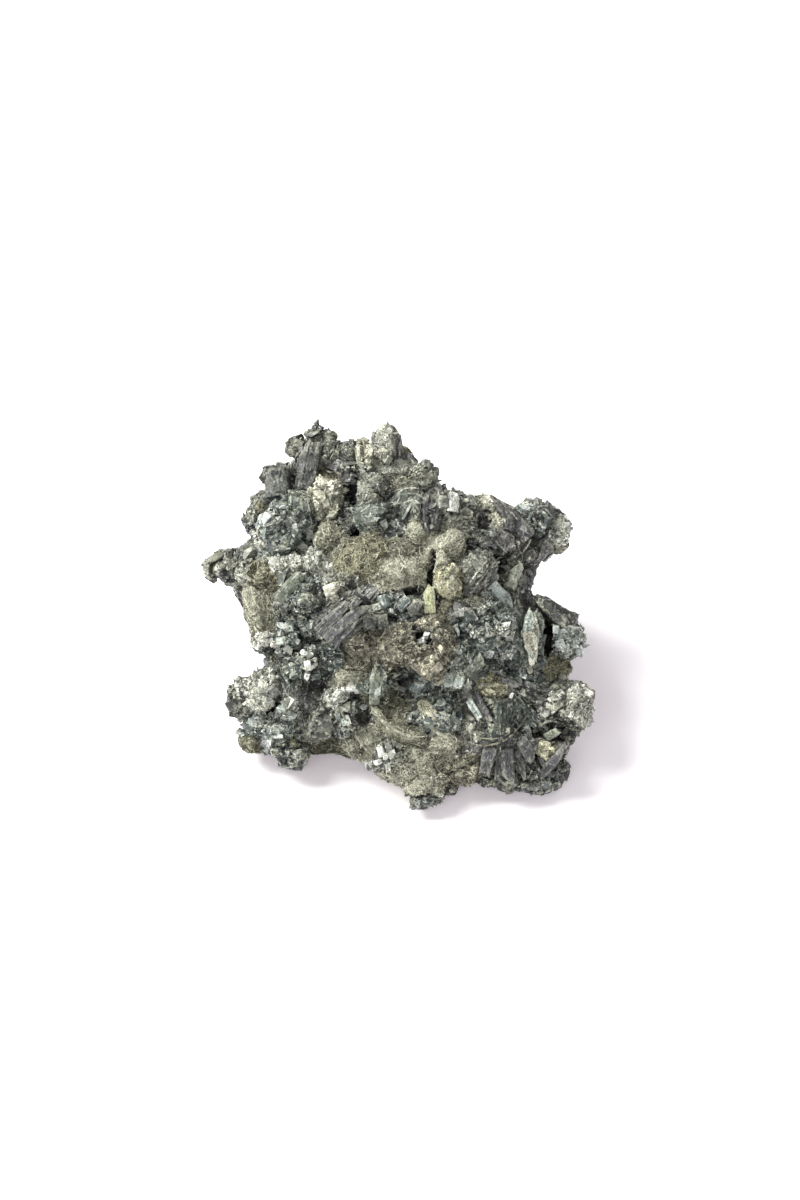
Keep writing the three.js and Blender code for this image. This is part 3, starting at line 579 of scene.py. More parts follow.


# %% [markdown]
# A few crystals are large enough to be picked out one by one. They are listed as well, and the
# skin beneath them is pushed in a little, so that each sits in its own socket.

# %% The large crystals, one by one
LARGE = [
    # u and v of the root; width, length, thickness; turn; rise of its middle off the skin; lift of
    # the tip in degrees; taper of the tip; finish; tone
    (9.8, 0.6, 3.8, 8.6, 2.2, 92, 0.4, 4, 0.45, "yellow_green", 0.86),
    (29.8, 9.8, 4.6, 11.0, 2.6, -46, 0.5, 6, 0.60, "blue_green", 0.86),
    (42.2, -7.6, 4.0, 8.0, 3.4, 80, 1.3, 0, 0.55, "white_green", 0.50),
    (44.8, -7.6, 3.4, 7.2, 3.2, 102, 1.2, 0, 0.55, "cream", 0.50),
    (42.4, -5.4, 4.4, 9.0, 3.8, -78, 1.6, 0, 0.65, "cream", 0.62),
    (44.8, -6.0, 3.6, 8.8, 3.4, -100, 1.3, 0, 0.65, "white_green", 0.46),
    (43.8, -12.6, 2.2, 3.6, 2.2, -92, 1.5, 0, 0.30, "cream", 0.88),
    (43.0, -17.4, 1.8, 2.8, 1.8, 280, 0.8, 0, 0.30, "cream", 0.80),
    (-32.4, -12.4, 2.0, 2.8, 1.8, -40, 0.8, 10, 0.15, "white_druse", 0.80),
    (-31.2, -14.4, 1.8, 2.4, 1.8, 30, 0.8, 14, 0.10, "white_druse", 0.66),
    (-30.6, -15.6, 2.0, 2.8, 1.8, -80, 0.9, 10, 0.15, "white_druse", 0.84),
    (-31.2, -18.0, 1.7, 2.4, 1.6, 10, 0.8, 14, 0.10, "white_druse", 0.70),
    (-30.4, -19.4, 1.8, 2.6, 1.6, -110, 0.8, 10, 0.15, "white_druse", 0.78),
    (-28.8, -17.6, 1.5, 2.0, 1.4, 50, 0.7, 14, 0.10, "white_druse", 0.60),
    (-5.8, -46.4, 2.2, 3.0, 2.0, 108, 0.8, 14, 0.10, "white_druse", 0.72),
    (-3.6, -46.8, 2.2, 2.6, 2.0, 40, 0.9, 14, 0.10, "white_druse", 0.60),
    (-4.4, -48.6, 2.0, 2.6, 1.8, -72, 0.8, 14, 0.10, "white_druse", 0.52),
    (-6.4, -48.2, 1.8, 2.4, 1.6, 200, 0.8, 14, 0.10, "white_druse", 0.66),
    (-4.9, -47.4, 1.6, 2.2, 1.6, 80, 1.6, 14, 0.10, "white_druse", 0.80),
    (-8.4, -29.2, 3.6, 11.4, 3.4, 88, 0.6, 5, 0.25, "pale_green", 0.52),
    (22.6, -28.4, 2.4, 7.2, 2.2, -58, 0.8, 6, 0.15, "white_green", 0.62),
    (-40.5, 4.6, 4.6, 12.0, 3.0, 46, 0.2, 4, 0.45, "pale_green", 0.50),
    (36.2, 8.2, 4.2, 8.6, 3.2, 66, 0.8, 5, 0.25, "pale_green", 0.66),
    (22.2, -20.4, 4.8, 7.4, 3.4, 50, 0.2, 5, 0.20, "pale_green", 0.24),
    (16.2, -23.4, 3.2, 3.6, 2.8, 96, 0.8, 10, 0.35, "white_green", 0.62),
    (18.8, -24.0, 3.4, 4.2, 3.0, 70, 0.9, 10, 0.30, "white_green", 0.70),
    (18.0, -21.4, 3.0, 3.4, 2.6, 110, 1.0, 8, 0.35, "white_green", 0.52),
    (17.6, 34.2, 3.6, 6.4, 3.0, 84, 0.8, 6, 0.30, "white_druse", 0.76),
    (14.6, 35.0, 3.2, 4.0, 3.0, 96, 0.7, 6, 0.20, "grey", 0.56),
    (-11.4, 1.2, 2.4, 7.6, 1.8, 18, 0.7, 4, 0.20, "pale_green", 0.70),
    (4.2, 1.2, 3.8, 4.2, 3.4, 60, 0.6, 10, 0.15, "grey", 0.36),
    (-0.8, 1.8, 3.8, 4.2, 3.2, 40, 0.8, 12, 0.10, "blue_green", 0.30),
    (-4.6, 2.4, 3.6, 4.2, 3.0, 110, 0.8, 12, 0.10, "blue_green", 0.36),
    (-10.4, -4.6, 4.4, 4.8, 3.0, 74, 0.2, 8, 0.20, "grey", 0.30),
    (-5.2, -4.2, 4.0, 4.2, 3.0, 106, 0.2, 8, 0.20, "grey", 0.26),
    (5.0, -25.6, 4.0, 4.2, 3.2, 62, 0.6, 8, 0.15, "blue_green", 0.52),
    (-24.8, 7.4, 3.6, 5.0, 3.0, 20, 0.6, 8, 0.35, "cream", 0.76),
    (-22.4, 6.4, 2.6, 3.2, 2.4, -50, 0.8, 8, 0.25, "cream", 0.70),
    (-39.8, -31.6, 2.4, 2.8, 2.2, 30, 0.7, 14, 0.10, "white_green", 0.44),
    (-37.6, -30.4, 2.2, 2.6, 2.0, 80, 0.7, 14, 0.10, "cream", 0.58),
    (-36.8, -32.8, 2.2, 2.6, 2.0, -30, 0.7, 14, 0.10, "white_green", 0.40),
    (-40.6, -9.0, 2.8, 3.2, 2.4, 5, 0.7, 14, 0.10, "white_green", 0.56),
    (-36.6, -6.2, 3.0, 3.2, 2.6, 100, 0.8, 14, 0.10, "white_green", 0.62),
    (-38.4, -11.0, 2.4, 2.8, 2.2, -30, 0.7, 14, 0.10, "white_druse", 0.54),
    (29.6, -44.4, 4.2, 9.8, 3.6, 257, 0.4, 3, 0.10, "slate", 0.42),
    (32.6, -45.0, 2.0, 8.6, 3.0, 266, -0.6, 2, 0.15, "dark", 0.16),
    (35.2, -44.4, 4.0, 9.6, 3.6, 274, 0.4, 3, 0.10, "slate", 0.34),
    (38.6, -45.0, 2.2, 8.8, 2.8, 288, -0.6, 2, 0.20, "slate", 0.18),
    (40.0, -41.6, 4.2, 8.0, 3.4, 302, 0.4, 4, 0.10, "slate", 0.24),
    (46.4, -53.6, 3.2, 12.0, 3.2, 48, 0.3, 4, 0.15, "slate", 0.34),
    (48.4, -41.2, 2.8, 4.6, 2.2, 36, 0.9, 8, 0.15, "pale_green", 0.74),
    (-41.6, 37.8, 8.0, 13.0, 6.0, 88, -0.2, 1, 0.30, "dark", 0.30),
    (-31.8, 42.0, 6.8, 14.0, 6.0, 84, 0.3, 1, 0.30, "slate", 0.28),
    (-26.6, -5.8, 3.6, 14.0, 3.2, 45, 0.4, 3, 0.25, "slate", 0.34),
    (-24.4, -8.0, 3.8, 16.5, 3.6, 41, 0.5, 3, 0.25, "slate", 0.38),
    (-22.0, -9.6, 3.6, 10.5, 3.2, 48, 0.0, 3, 0.25, "purple", 0.34),
    (-19.4, -8.2, 2.6, 7.6, 2.8, 38, -0.3, 3, 0.25, "dark", 0.30),
    (46.0, 7.6, 4.2, 15.0, 3.6, -40, 0.2, 0, 0.30, "dark", 0.04),
    (47.8, 9.4, 3.4, 13.0, 3.6, -42, 0.0, 0, 0.30, "dark", 0.10),
    (43.8, 25.6, 5.8, 15.4, 2.4, 130, 0.3, 0, 0.66, "purple", 0.10),
    (36.4, 27.6, 3.6, 6.4, 2.6, 74, 0.0, 2, 0.40, "purple", 0.28),
    (8.8, 29.6, 2.2, 9.6, 2.4, 92, -0.1, 2, 0.40, "slate", 0.30),
    (11.2, 29.8, 2.0, 8.2, 2.4, 80, -0.3, 2, 0.40, "slate", 0.22),
    (24.6, -26.0, 2.8, 12.6, 2.6, -62, 0.7, 2, 0.20, "purple", 0.30),
    (6.0, -9.4, 2.2, 2.4, 2.0, 30, 0.6, 20, 0.05, "white_druse", 0.75),
    (8.4, -7.6, 1.8, 2.0, 1.8, 70, 0.6, 20, 0.05, "white_druse", 0.65),
    (36.6, -27.8, 1.1, 1.6, 1.0, 70, 0.9, 20, 0.05, "white_druse", 0.95),
    (48.4, -30.2, 1.7, 3.4, 1.7, -22, 1.6, 0, 0.30, "cream", 0.97),
    (51.2, -31.6, 1.8, 3.6, 1.8, 38, 1.6, 0, 0.30, "cream", 0.97),
]
SUNKEN = -25  # millimetres along w; what lies deeper isn't part of the face


def under_crystal(points, margin=0.4):
    """True where a point of the face lies under one of the large crystals."""
    away = points - FACE_ORIGIN
    u, v, w = away @ FACE_U, away @ FACE_V, away @ FACE_W
    under = np.zeros(len(points), bool)
    for u0, v0, width, length, _, turn, *_ in LARGE:
        c, s = np.cos(np.radians(turn)), np.sin(np.radians(turn))
        reach, off = (u - u0) * c + (v - v0) * s, np.abs((v - v0) * c - (u - u0) * s)
        under |= (reach > -margin) & (reach < length + margin) & (off < width / 2 + margin)
    return under & (w > SUNKEN)


print(len(LARGE), "large crystals set down by hand")

# %% [markdown]
# ## The broken body
# The solid is faceted, and the real skin is broken down to a millimetre. A voxel remesh turns a
# copy of the solid into an even net of small faces, which can then be pushed about. A subdivision
# modifier would keep the long facets, so it wasn't used.

# %% Remesh a copy of the solid
VOXEL = 0.68  # millimetres
MOST_TRIANGLES = 196000
BEHIND = -0.05  # the rough face ends where the skin turns this far from facing out


def keep_modified(body):
    """Makes what the object's modifiers show its own mesh."""
    shown = body.evaluated_get(bpy.context.evaluated_depsgraph_get())
    mesh = bpy.data.meshes.new_from_object(shown)
    body.modifiers.clear()
    body.data = mesh


def remeshed_copy(name):
    """A new object with the solid's shape in even, small faces."""
    body = new_piece(name, frame["nodes"][SOLID].data.copy())
    remesh = body.modifiers.new("remesh", "REMESH")
    remesh.mode, remesh.voxel_size, remesh.adaptivity = "VOXEL", VOXEL * MM, 0.0
    keep_modified(body)
    body.data.materials.clear()
    return body


def read_vectors(collection, name):
    """One vector per element of a mesh collection, as an array."""
    values = np.zeros(len(collection) * 3, np.float32)
    collection.foreach_get(name, values)
    return values.reshape(-1, 3).astype(np.float64)


def thin_out_back(body):
    """Fewer faces behind and underneath, where the growth is coarser; the rough face keeps its own."""
    facing = read_vectors(body.data.vertex_normals, "vector") @ FACE_W
    behind = body.vertex_groups.new(name="behind")
    behind.add(np.flatnonzero(facing < BEHIND).tolist(), 1.0, "REPLACE")
    thinned = body.modifiers.new("thinned", "DECIMATE")
    thinned.ratio = MOST_TRIANGLES / (2 * len(body.data.polygons))
    thinned.vertex_group = "behind"
    keep_modified(body)
    body.vertex_groups.clear()


body = remeshed_copy("prehnite_body")
thin_out_back(body)
body_points = read_vectors(body.data.vertices, "co") / MM
body_normals = read_vectors(body.data.vertex_normals, "vector")
print("body:", len(body.data.vertices), "corners,", len(body.data.polygons), "faces,",
      int((body_normals @ FACE_W > BEHIND).sum()), "corners on the rough face")


# %% [markdown]
# The push is layered. Each lump first domes up or sinks, and drops into a crevice at its border.
# Its grains come next: cells stretched along the lump's grain, each with its own level and its
# own tilted flat top, so that neighbours meet in ledges as real crystals do. Striae run along the
# grain, and crumbs lie over everything. The rim is worn, one corner of it has broken off, and the
# skin sinks a little under each large crystal.

# %% The shape of lumps
CREVICE = 3.2  # millimetres, where it gapes most
SOFT = ("felt", "olive", "ridge", "dusty", "smooth")  # these swell; the others are blocky
SOFT_FINISHES = [FINISHES.index(name) for name in SOFT]
SIDES = 6  # of a blocky lump
DOME = 1.25  # how far a lump stands up, as a share of its rise
CREVICE_WIDTH = 0.22  # in lump sizes


def block_top(points, which):
    """A many-sided block: sloping sides, each facing its own way, round a tilted, cut-off top."""
    random = np.random.default_rng(9)
    turns = np.arange(SIDES) + random.uniform(-0.35, 0.35, (len(MIDDLES), SIDES))
    turns = turns * 2 * np.pi / SIDES
    reach = random.uniform(0.75, 1.3, (len(MIDDLES), SIDES))
    tilt = random.uniform(-0.45, 0.45, (len(MIDDLES), 2))
    away = np.einsum("ij,ikj->ik", points - MIDDLES[which], AXES[which][:, :2]) / HALVES[which, :2]
    slopes = away[:, :1] * np.cos(turns[which]) + away[:, 1:] * np.sin(turns[which])
    side = 1 - np.max(slopes / reach[which], axis=1)
    top = np.minimum(np.clip(side, 0, 1) / 0.45, 1.0)
    return top * (1 + np.einsum("ij,ij->i", away, tilt[which]))


def lump_shape(points):
    """How far each lump domes up or sinks, and how deep in a crevice each point lies. Some pairs
    of lumps have grown together without any."""
    which, out, following, margin = lump_at(points)
    soft = np.isin(LUMP_FINISH[which], SOFT_FINISHES)
    dome = np.where(soft, np.clip(1 - out**2, 0, 1), block_top(points, which))
    pair = np.stack([np.minimum(which, following), np.maximum(which, following), 0 * which], axis=1)
    gape = np.clip(2.4 * hashed(pair, 91) - 1.5, 0, 1)
    crevice = np.clip(1 - margin / CREVICE_WIDTH, 0, 1) * gape
    return which, DOME * RISES[which] * dome - CREVICE * crevice, crevice


# %% The shape of grains and striae
NEXT_GRAINS = 7.3  # grain sizes that each lump's cells are moved on from the last lump's
FINER = 2.1  # how many times smaller the second layer of grains is
STRIA = np.array([1.1, 14, 1.1])  # millimetres across the grain, along it and outward
NEXT_STRIAE = 3.1  # stria sizes that each lump's striae are moved on


def grain_shape(own, finish, which):
    """Height of the grains: stepped, tilted flat tops in cells stretched along the grain."""
    width, length, steps, tilt = (SURFACE[finish, i] for i in range(4))
    stretched = own / np.stack([width, length, width], axis=1) + which[:, None] * NEXT_GRAINS
    coarse, away = grains(stretched, 1.0, 31)
    slope = np.einsum("ij,ij->i", coarse - 0.5, away)
    height = steps * (coarse[:, 0] - 0.5) + tilt * slope * 1.6
    fine, away = grains(stretched * FINER, 1.0, 37)
    slope = np.einsum("ij,ij->i", fine - 0.5, away)
    height += 0.35 * steps * (fine[:, 0] - 0.5) + 0.6 * tilt * slope
    return height, coarse[:, 1], fine[:, 1]


def stria_shape(own, which):
    """Lines that run along the grain, from -1 to 1."""
    place = own / STRIA + which[:, None] * NEXT_STRIAE
    finer = place * np.array([2.0, 1.6, 2.0])
    return 0.7 * smooth_noise(place, 1, 53) + 0.5 * smooth_noise(finer, 1, 59)


# %% Where the rim is worn or broken
CUT_BACK = 6.0  # millimetres along the face normal; the rim of the rough face lies beyond it
BROKEN_CORNER = (35.5, 41.0)  # u and v of a corner that has broken off
CORNER_REACH = 4.4  # millimetres round it
CORNER_SLIDE = -5.0 * FACE_V - 1.0 * FACE_U  # millimetres that the skin lies farther in


def worn_rim(points, normals):
    """How worn each point is, 0 to 1: the rim's skin faces sideways."""
    return np.clip(1.3 - np.abs(normals @ FACE_W) / 0.45, 0, 1) * (points @ FACE_W > CUT_BACK)


def broken_corner(points):
    """How far each point slides in where the corner has broken off."""
    away = points - FACE_ORIGIN - BROKEN_CORNER[0] * FACE_U - BROKEN_CORNER[1] * FACE_V
    near = np.clip(1.5 - np.hypot(away @ FACE_U, away @ FACE_V) / CORNER_REACH, 0, 1)
    return near[:, None] * CORNER_SLIDE


# %% Push the body's skin
LEANING = 0.45  # how far grain tops lean along the grain, as a share of their height
SOCKET = 0.6  # millimetres that the skin sinks under a large crystal
FOOT = 3.0  # millimetres above the ground within which the worn feet stay flat
SWELL = 0.8  # millimetres of broad unevenness under everything
WORN_HEIGHT, WORN_LEAN = 0.5, 0.7  # shares of the height and of the lean that the rim has lost


def push_skin(points, normals):
    """The pushed points, and what the push says about each: its lump, grain and striae."""
    which, height, crevice = lump_shape(points)
    finish = LUMP_FINISH[which]
    own = grainwise(points, which)
    grain, wide_random, fine_random = grain_shape(own, finish, which)
    striae = stria_shape(own, which)
    crumbs = layered_noise(points, 2.0, 2, 51)
    height = height + grain + SURFACE[finish, 4] * striae + SURFACE[finish, 5] * crumbs
    height += SWELL * layered_noise(points, 8, 2, 21)
    rim = worn_rim(points, normals)
    height = height * (1 - WORN_HEIGHT * rim)
    height = np.where(under_crystal(points), np.minimum(height, 0.3) - SOCKET, height)
    rests = np.clip((points[:, 2] - 0.3) / FOOT, 0, 1)
    lean = grain_direction(points, which) * (LEANING * grain)[:, None]
    lean *= 1 - WORN_LEAN * rim[:, None]
    moved = points + (normals * height[:, None] + lean) * rests[:, None] + broken_corner(points)
    moved[:, 2] = np.maximum(moved[:, 2], 0.0)
    return moved, dict(which=which, crevice=crevice, own=own, wide=wide_random, fine=fine_random,
                       striae=striae)


pushed, skin = push_skin(body_points, body_normals)
body.data.vertices.foreach_set("co", (pushed * MM).astype(np.float32).ravel())
body.data.update()
print("the skin moved by up to", round(float(np.linalg.norm(pushed - body_points, axis=1).max()), 2), "mm")

# %% [markdown]
# ## Colour as a property of the mesh
# Most colour here belongs to the mineral: a grain is dark or pale all through. So each point carries
# its tint as a colour attribute, mixed from its finish's dark, middle and light colours. Light and
# shade are painted into that tint as well: crevices and sunken places are darker, which is painted
# shade, and crests are paler, partly as wear and partly as painted light, all measured from the push
# itself. The shader then only adds what is finer than the mesh: speckle, striation and dust.


# %% Tints
def three_way(dark, middle, light, tone):
    """The dark, middle or light colour as tone runs 0 to 1."""
    low = np.clip(tone * 2, 0, 1)[:, None]
    high = np.clip(tone * 2 - 1, 0, 1)[:, None]
    return (dark * (1 - low) + middle * low) * (1 - high) + light * high


def tint_of(finish, tone):
    """The colour of each point, from its finish and its tone."""
    return three_way(*TINTS[finish].transpose(1, 0, 2), tone)


def store(mesh, colours, crystal, worn, own, domain="POINT"):
    """Keeps each corner's or facet's tint, how crystalline and how worn each corner is, and its
    grainwise place, where the material can read them."""
    tint = mesh.attributes.new("tint", "FLOAT_COLOR", domain)
    rgba = np.concatenate([colours, np.ones((len(colours), 1))], axis=1)
    tint.data.foreach_set("color", rgba.astype(np.float32).ravel())
    for name, values in (("crystal", crystal), ("worn", worn)):
        layer = mesh.attributes.new(name, "FLOAT", "POINT")
        layer.data.foreach_set("value", np.asarray(values, np.float32))
    place = mesh.attributes.new("grainwise", "FLOAT_VECTOR", "POINT")
    place.data.foreach_set("vector", own.astype(np.float32).ravel())


# %% The body's tints
# how crystalline the duller finishes are; the others are crystal all through
DULL = dict(felt=0.1, olive=0.15, ridge=0.1, dusty=0.2, tan=0.25, cream=0.45, grey=0.6)
GLASSY = np.array([DULL.get(name, 1.0) for name in FINISHES])


def crests(mesh, points):
    """How far each corner stands above its neighbours' mean, in millimetres."""
    edges = np.zeros(len(mesh.edges) * 2, np.int32)
    mesh.edges.foreach_get("vertices", edges)
    a, b = edges.reshape(-1, 2).T
    count = np.bincount(np.r_[a, b], minlength=len(points))[:, None]
    level = points.copy()
    for _ in range(6):
        total = np.zeros_like(level)
        for axis in range(3):
            total[:, axis] = np.bincount(a, level[b, axis], len(points))
            total[:, axis] += np.bincount(b, level[a, axis], len(points))
        level = 0.5 * level + 0.5 * total / count
    return np.einsum("ij,ij->i", points - level, body_normals)


# how much each thing changes the body's tone, round the usual one; crests and crevices are painted
# light and shade: raised corners paler, partly as wear, sunken corners and crevices darker
TONE = dict(usual=0.45, wide=0.17, fine=0.30, patches=0.10, striae=0.12, crests=0.44, crevices=0.42)


def body_tone():
    """How pale each corner of the body is, 0 to 1, painted light and shade included."""
    tone = TONE["usual"] + TONE["wide"] * (skin["wide"] - 0.5) + TONE["fine"] * (skin["fine"] - 0.5)
    tone += TONE["patches"] * layered_noise(body_points, 12, 3, 61) + TONE["striae"] * skin["striae"]
    # painted light and shade: raised corners paler, sunken corners and crevices darker
    relief_light_and_shade = TONE["crests"] * np.clip(body_crests, -0.8, 0.5) - TONE["crevices"] * skin["crevice"]
    tone += relief_light_and_shade + PALER[skin["which"]]
    return np.clip(tone, 0, 1)


body_finish = LUMP_FINISH[skin["which"]]
body_crests = crests(body.data, pushed)
body_worn = np.clip((body_crests - 0.05) / 0.6, 0, 1)
store(body.data, tint_of(body_finish, body_tone()), GLASSY[body_finish], body_worn,
      skin["own"] + skin["which"][:, None] * 11.0)
first_corner = np.array([p.vertices[0] for p in body.data.polygons])
body.data.polygons.foreach_set("use_smooth", np.isin(body_finish, SOFT_FINISHES)[first_corner])
print("share of the skin that is worn:", round(float((body_worn > 0.3).mean()), 2))

# %% [markdown]
# ## Strewing crystals
# Thousands of crystals are too many for separate objects, and scattering with particles or
# instances would leave nothing to keep, because those aren't mesh. So one small crystal is
# written down as corners and faces, and copies of it, each turned, stretched and moved, are put
# together into one mesh with array arithmetic.

# %% Places on the skin
GROUND = 1.6  # millimetres above the table that stay clear of small crystals
HOLLOW_SHARE, RIM_SHARE = 0.25, 0.45  # how much of the usual growth stands there


def read_triangles():
    """The body's triangles, as three corner numbers each."""
    body.data.calc_loop_triangles()
    triangles = np.zeros(len(body.data.loop_triangles) * 3, np.int32)
    body.data.loop_triangles.foreach_get("vertices", triangles)
    return triangles.reshape(-1, 3)


TRIANGLES = read_triangles()
CORNERS = pushed[TRIANGLES]
CROSS = np.cross(CORNERS[:, 1] - CORNERS[:, 0], CORNERS[:, 2] - CORNERS[:, 0])
AREAS = np.linalg.norm(CROSS, axis=1) / 2
BROAD_NORMALS = body_normals[TRIANGLES].mean(axis=1)
print("skin area", round(AREAS.sum() / 100), "square centimetres")


def strew(kind, tries, most, seed):
    """Places spread evenly over the skin where this kind of crystal stands, clear of the ground, of
    crevices and of the large crystals: each place, the way the skin faces there, and its lump."""
    random = np.random.default_rng(seed)
    chosen = random.choice(len(AREAS), tries, p=AREAS / AREAS.sum())
    a, b = np.sqrt(random.random(tries)), random.random(tries)
    weights = np.stack([1 - a, a * (1 - b), a * b], axis=1)
    places = np.einsum("ij,ijk->ik", weights, CORNERS[chosen])
    corner = TRIANGLES[chosen, 0]
    which = skin["which"][corner]
    thick = THICKNESS[LUMP_FINISH[which], KINDS.index(kind)] * (1 - 0.9 * skin["crevice"][corner])
    thick = thick * np.where(RISES[which] < -1.2, HOLLOW_SHARE, 1.0)
    clear = (places[:, 2] > GROUND) & ~under_crystal(places, -0.5)
    rim = (np.abs(BROAD_NORMALS[chosen] @ FACE_W) < 0.3) & (places @ FACE_W > CUT_BACK)
    thick = np.where(rim, RIM_SHARE * thick, thick)
    keep = np.flatnonzero((random.random(tries) < thick) & clear)[:most]
    return places[keep], unit(BROAD_NORMALS[chosen][keep]), which[keep], random


# %% Directions and tones for what grows there
def laid_down(vectors, facing, share=1.0):
    """The vectors without the part that points along facing, or without a share of it."""
    return vectors - facing * np.einsum("ij,ij->i", vectors, facing)[:, None] * share


def across(directions, random):
    """For each direction, one at right angles to it, at a random turn."""
    return unit(laid_down(random.normal(size=directions.shape), directions))


def drift(places, size, salt):
    """A direction for each place, which changes slowly from one place to the next."""
    return np.stack([smooth_noise(places, size, salt + i) for i in range(3)], axis=1)


def random_tone(random, which, level, spread):
    """A tone for each place, round the given level, as pale or dark as its lump is, painted shade
    in sunken lumps included.
    """
    return PALER[which] + level + spread * random.normal(size=len(which))


# %% Copies of one small crystal in one mesh
def fill_mesh(mesh, points, faces, copies):
    """Fills a mesh with copies of the same faces, whose corners follow each other in points."""
    flat = np.concatenate([np.asarray(face) for face in faces])
    totals = np.tile([len(face) for face in faces], copies)
    first = np.arange(copies) * (len(points) // copies)
    loops = (flat[None] + first[:, None]).ravel()
    mesh.vertices.add(len(points))
    mesh.vertices.foreach_set("co", (points * MM).astype(np.float32).ravel())
    mesh.loops.add(len(loops))
    mesh.loops.foreach_set("vertex_index", loops.astype(np.int32))
    mesh.polygons.add(len(totals))
    starts = np.concatenate([[0], np.cumsum(totals)[:-1]])
    mesh.polygons.foreach_set("loop_start", starts.astype(np.int32))
    mesh.polygons.foreach_set("loop_total", totals.astype(np.int32))
    mesh.update(calc_edges=True)
    mesh.validate()
    mesh.shade_flat()
    print(mesh.name + ":", copies, "copies,", int((totals - 2).sum()), "triangles")


def joined_copies(name, shape, places, along, side, sizes, colours, glassy, chipped=0.10):
    """A mesh of one copy per place: the crystal's y axis lies along, its x axis to the side. Each
    copy's corners are chipped their own way, so that no two are the same."""
    corners, faces = shape
    n, k = len(places), len(corners)
    chips = np.random.default_rng(n).normal(size=(n, k, 3)) * chipped
    local = (corners[None] + chips) * sizes[:, None, :]
    points = places[:, None, :]
    for axis, direction in enumerate((side, along, np.cross(side, along))):
        points = points + local[..., axis:axis + 1] * direction[:, None, :]
    points = points.reshape(-1, 3)
    points[:, 2] = np.maximum(points[:, 2], 0.0)
    mesh = bpy.data.meshes.new(name)
    fill_mesh(mesh, points, faces, n)
    worn = np.tile(np.clip(0.15 + 0.9 * corners[:, 1], 0, 0.6), n)
    own = (local + np.arange(n)[:, None, None] * 1.7).reshape(-1, 3)
    store(mesh, colours, np.repeat(glassy, k), worn, own, "FACE")
    return new_piece(name, mesh)


def shaded(shape, finish, tone, by_end, by_level, by_painted_reflection=0.16):
    """A tint for each facet of each copy: paler towards its free end and its upper side, and each
    facet a little its own way: a painted reflection, as light caught inside a clear crystal makes it."""
    corners, faces = shape
    middles = np.array([corners[list(face)].mean(axis=0) for face in faces])
    tones = tone[:, None] + by_end * middles[None, :, 1] + by_level * middles[None, :, 2]
    # painted reflection: each facet's tone moves at random, as light caught inside a crystal makes it
    tones = tones + by_painted_reflection * np.random.default_rng(len(tone)).normal(size=tones.shape)
    return tint_of(np.repeat(finish, len(faces)), np.clip(tones.ravel(), 0, 1))


# %% The small crystals, each its corners and its faces in a box of size one
BOX_SIDES = [(3, 2, 1, 0), (0, 1, 5, 4), (1, 2, 6, 5), (2, 3, 7, 6), (3, 0, 4, 7)]
BLADE = (
    np.array([(-0.5, -0.5, -0.5), (0.5, -0.5, -0.5), (0.5, -0.5, 0.5), (-0.5, -0.5, 0.5),
              (-0.5, 0.22, -0.5), (0.5, 0.36, -0.5), (0.5, 0.36, 0.5), (-0.5, 0.22, 0.5),
              (-0.22, 0.5, 0.0), (0.3, 0.5, 0.0)]),
    BOX_SIDES + [(4, 5, 9, 8), (6, 7, 8, 9), (5, 6, 9), (7, 4, 8)],
)
GRAIN = (
    np.array([(-0.5, -0.5, -0.5), (0.5, -0.5, -0.35), (0.35, -0.5, 0.5), (-0.4, -0.5, 0.4),
              (-0.4, 0.3, -0.45), (0.45, 0.5, -0.2), (0.2, 0.35, 0.45), (-0.3, 0.1, 0.35)]),
    BOX_SIDES + [(4, 5, 7), (5, 6, 7)],
)
FIBRE = (
    np.array([(0, 0.5, 0), (-0.5, -0.5, -0.3), (0.5, -0.5, -0.3), (0, -0.5, 0.5)]),
    [(1, 2, 3), (0, 2, 1), (0, 3, 2), (0, 1, 3)],
)
DUST_GRAIN = (
    np.array([(0.5, -0.3, -0.3), (-0.5, -0.3, -0.2), (0, 0.5, -0.3), (0, 0, 0.5)]),
    [(0, 1, 2), (0, 3, 1), (1, 3, 2), (2, 3, 0)],
)


# %% Slabs, half sunk in the skin
def grow_slabs():
    places, facing, which, random = strew("slabs", tries=3600, most=1500, seed=105)
    finish, n = LUMP_FINISH[which], len(which)
    out = unit(facing + 0.35 * random.normal(size=places.shape))
    along = grain_direction(places, which) + 0.5 * random.normal(size=places.shape)
    along = unit(laid_down(along, out))
    side = np.cross(along, out)
    length = random.uniform(1.6, 4.2, n)
    width = length * random.uniform(0.45, 0.85, n)
    thickness = length * random.uniform(0.3, 0.7, n)
    sizes = np.stack([width, length, thickness], axis=1)
    tone = random_tone(random, which, level=0.36, spread=0.20) + 0.2 * layered_noise(places, 8, 2, 77)
    colours = shaded(BLADE, finish, tone, by_end=0.2, by_level=0.15)
    roots = places - 0.25 * facing
    return joined_copies("sunken_slabs", BLADE, roots, along, side, sizes, colours, GLASSY[finish],
                         chipped=0.13)


slabs = grow_slabs()


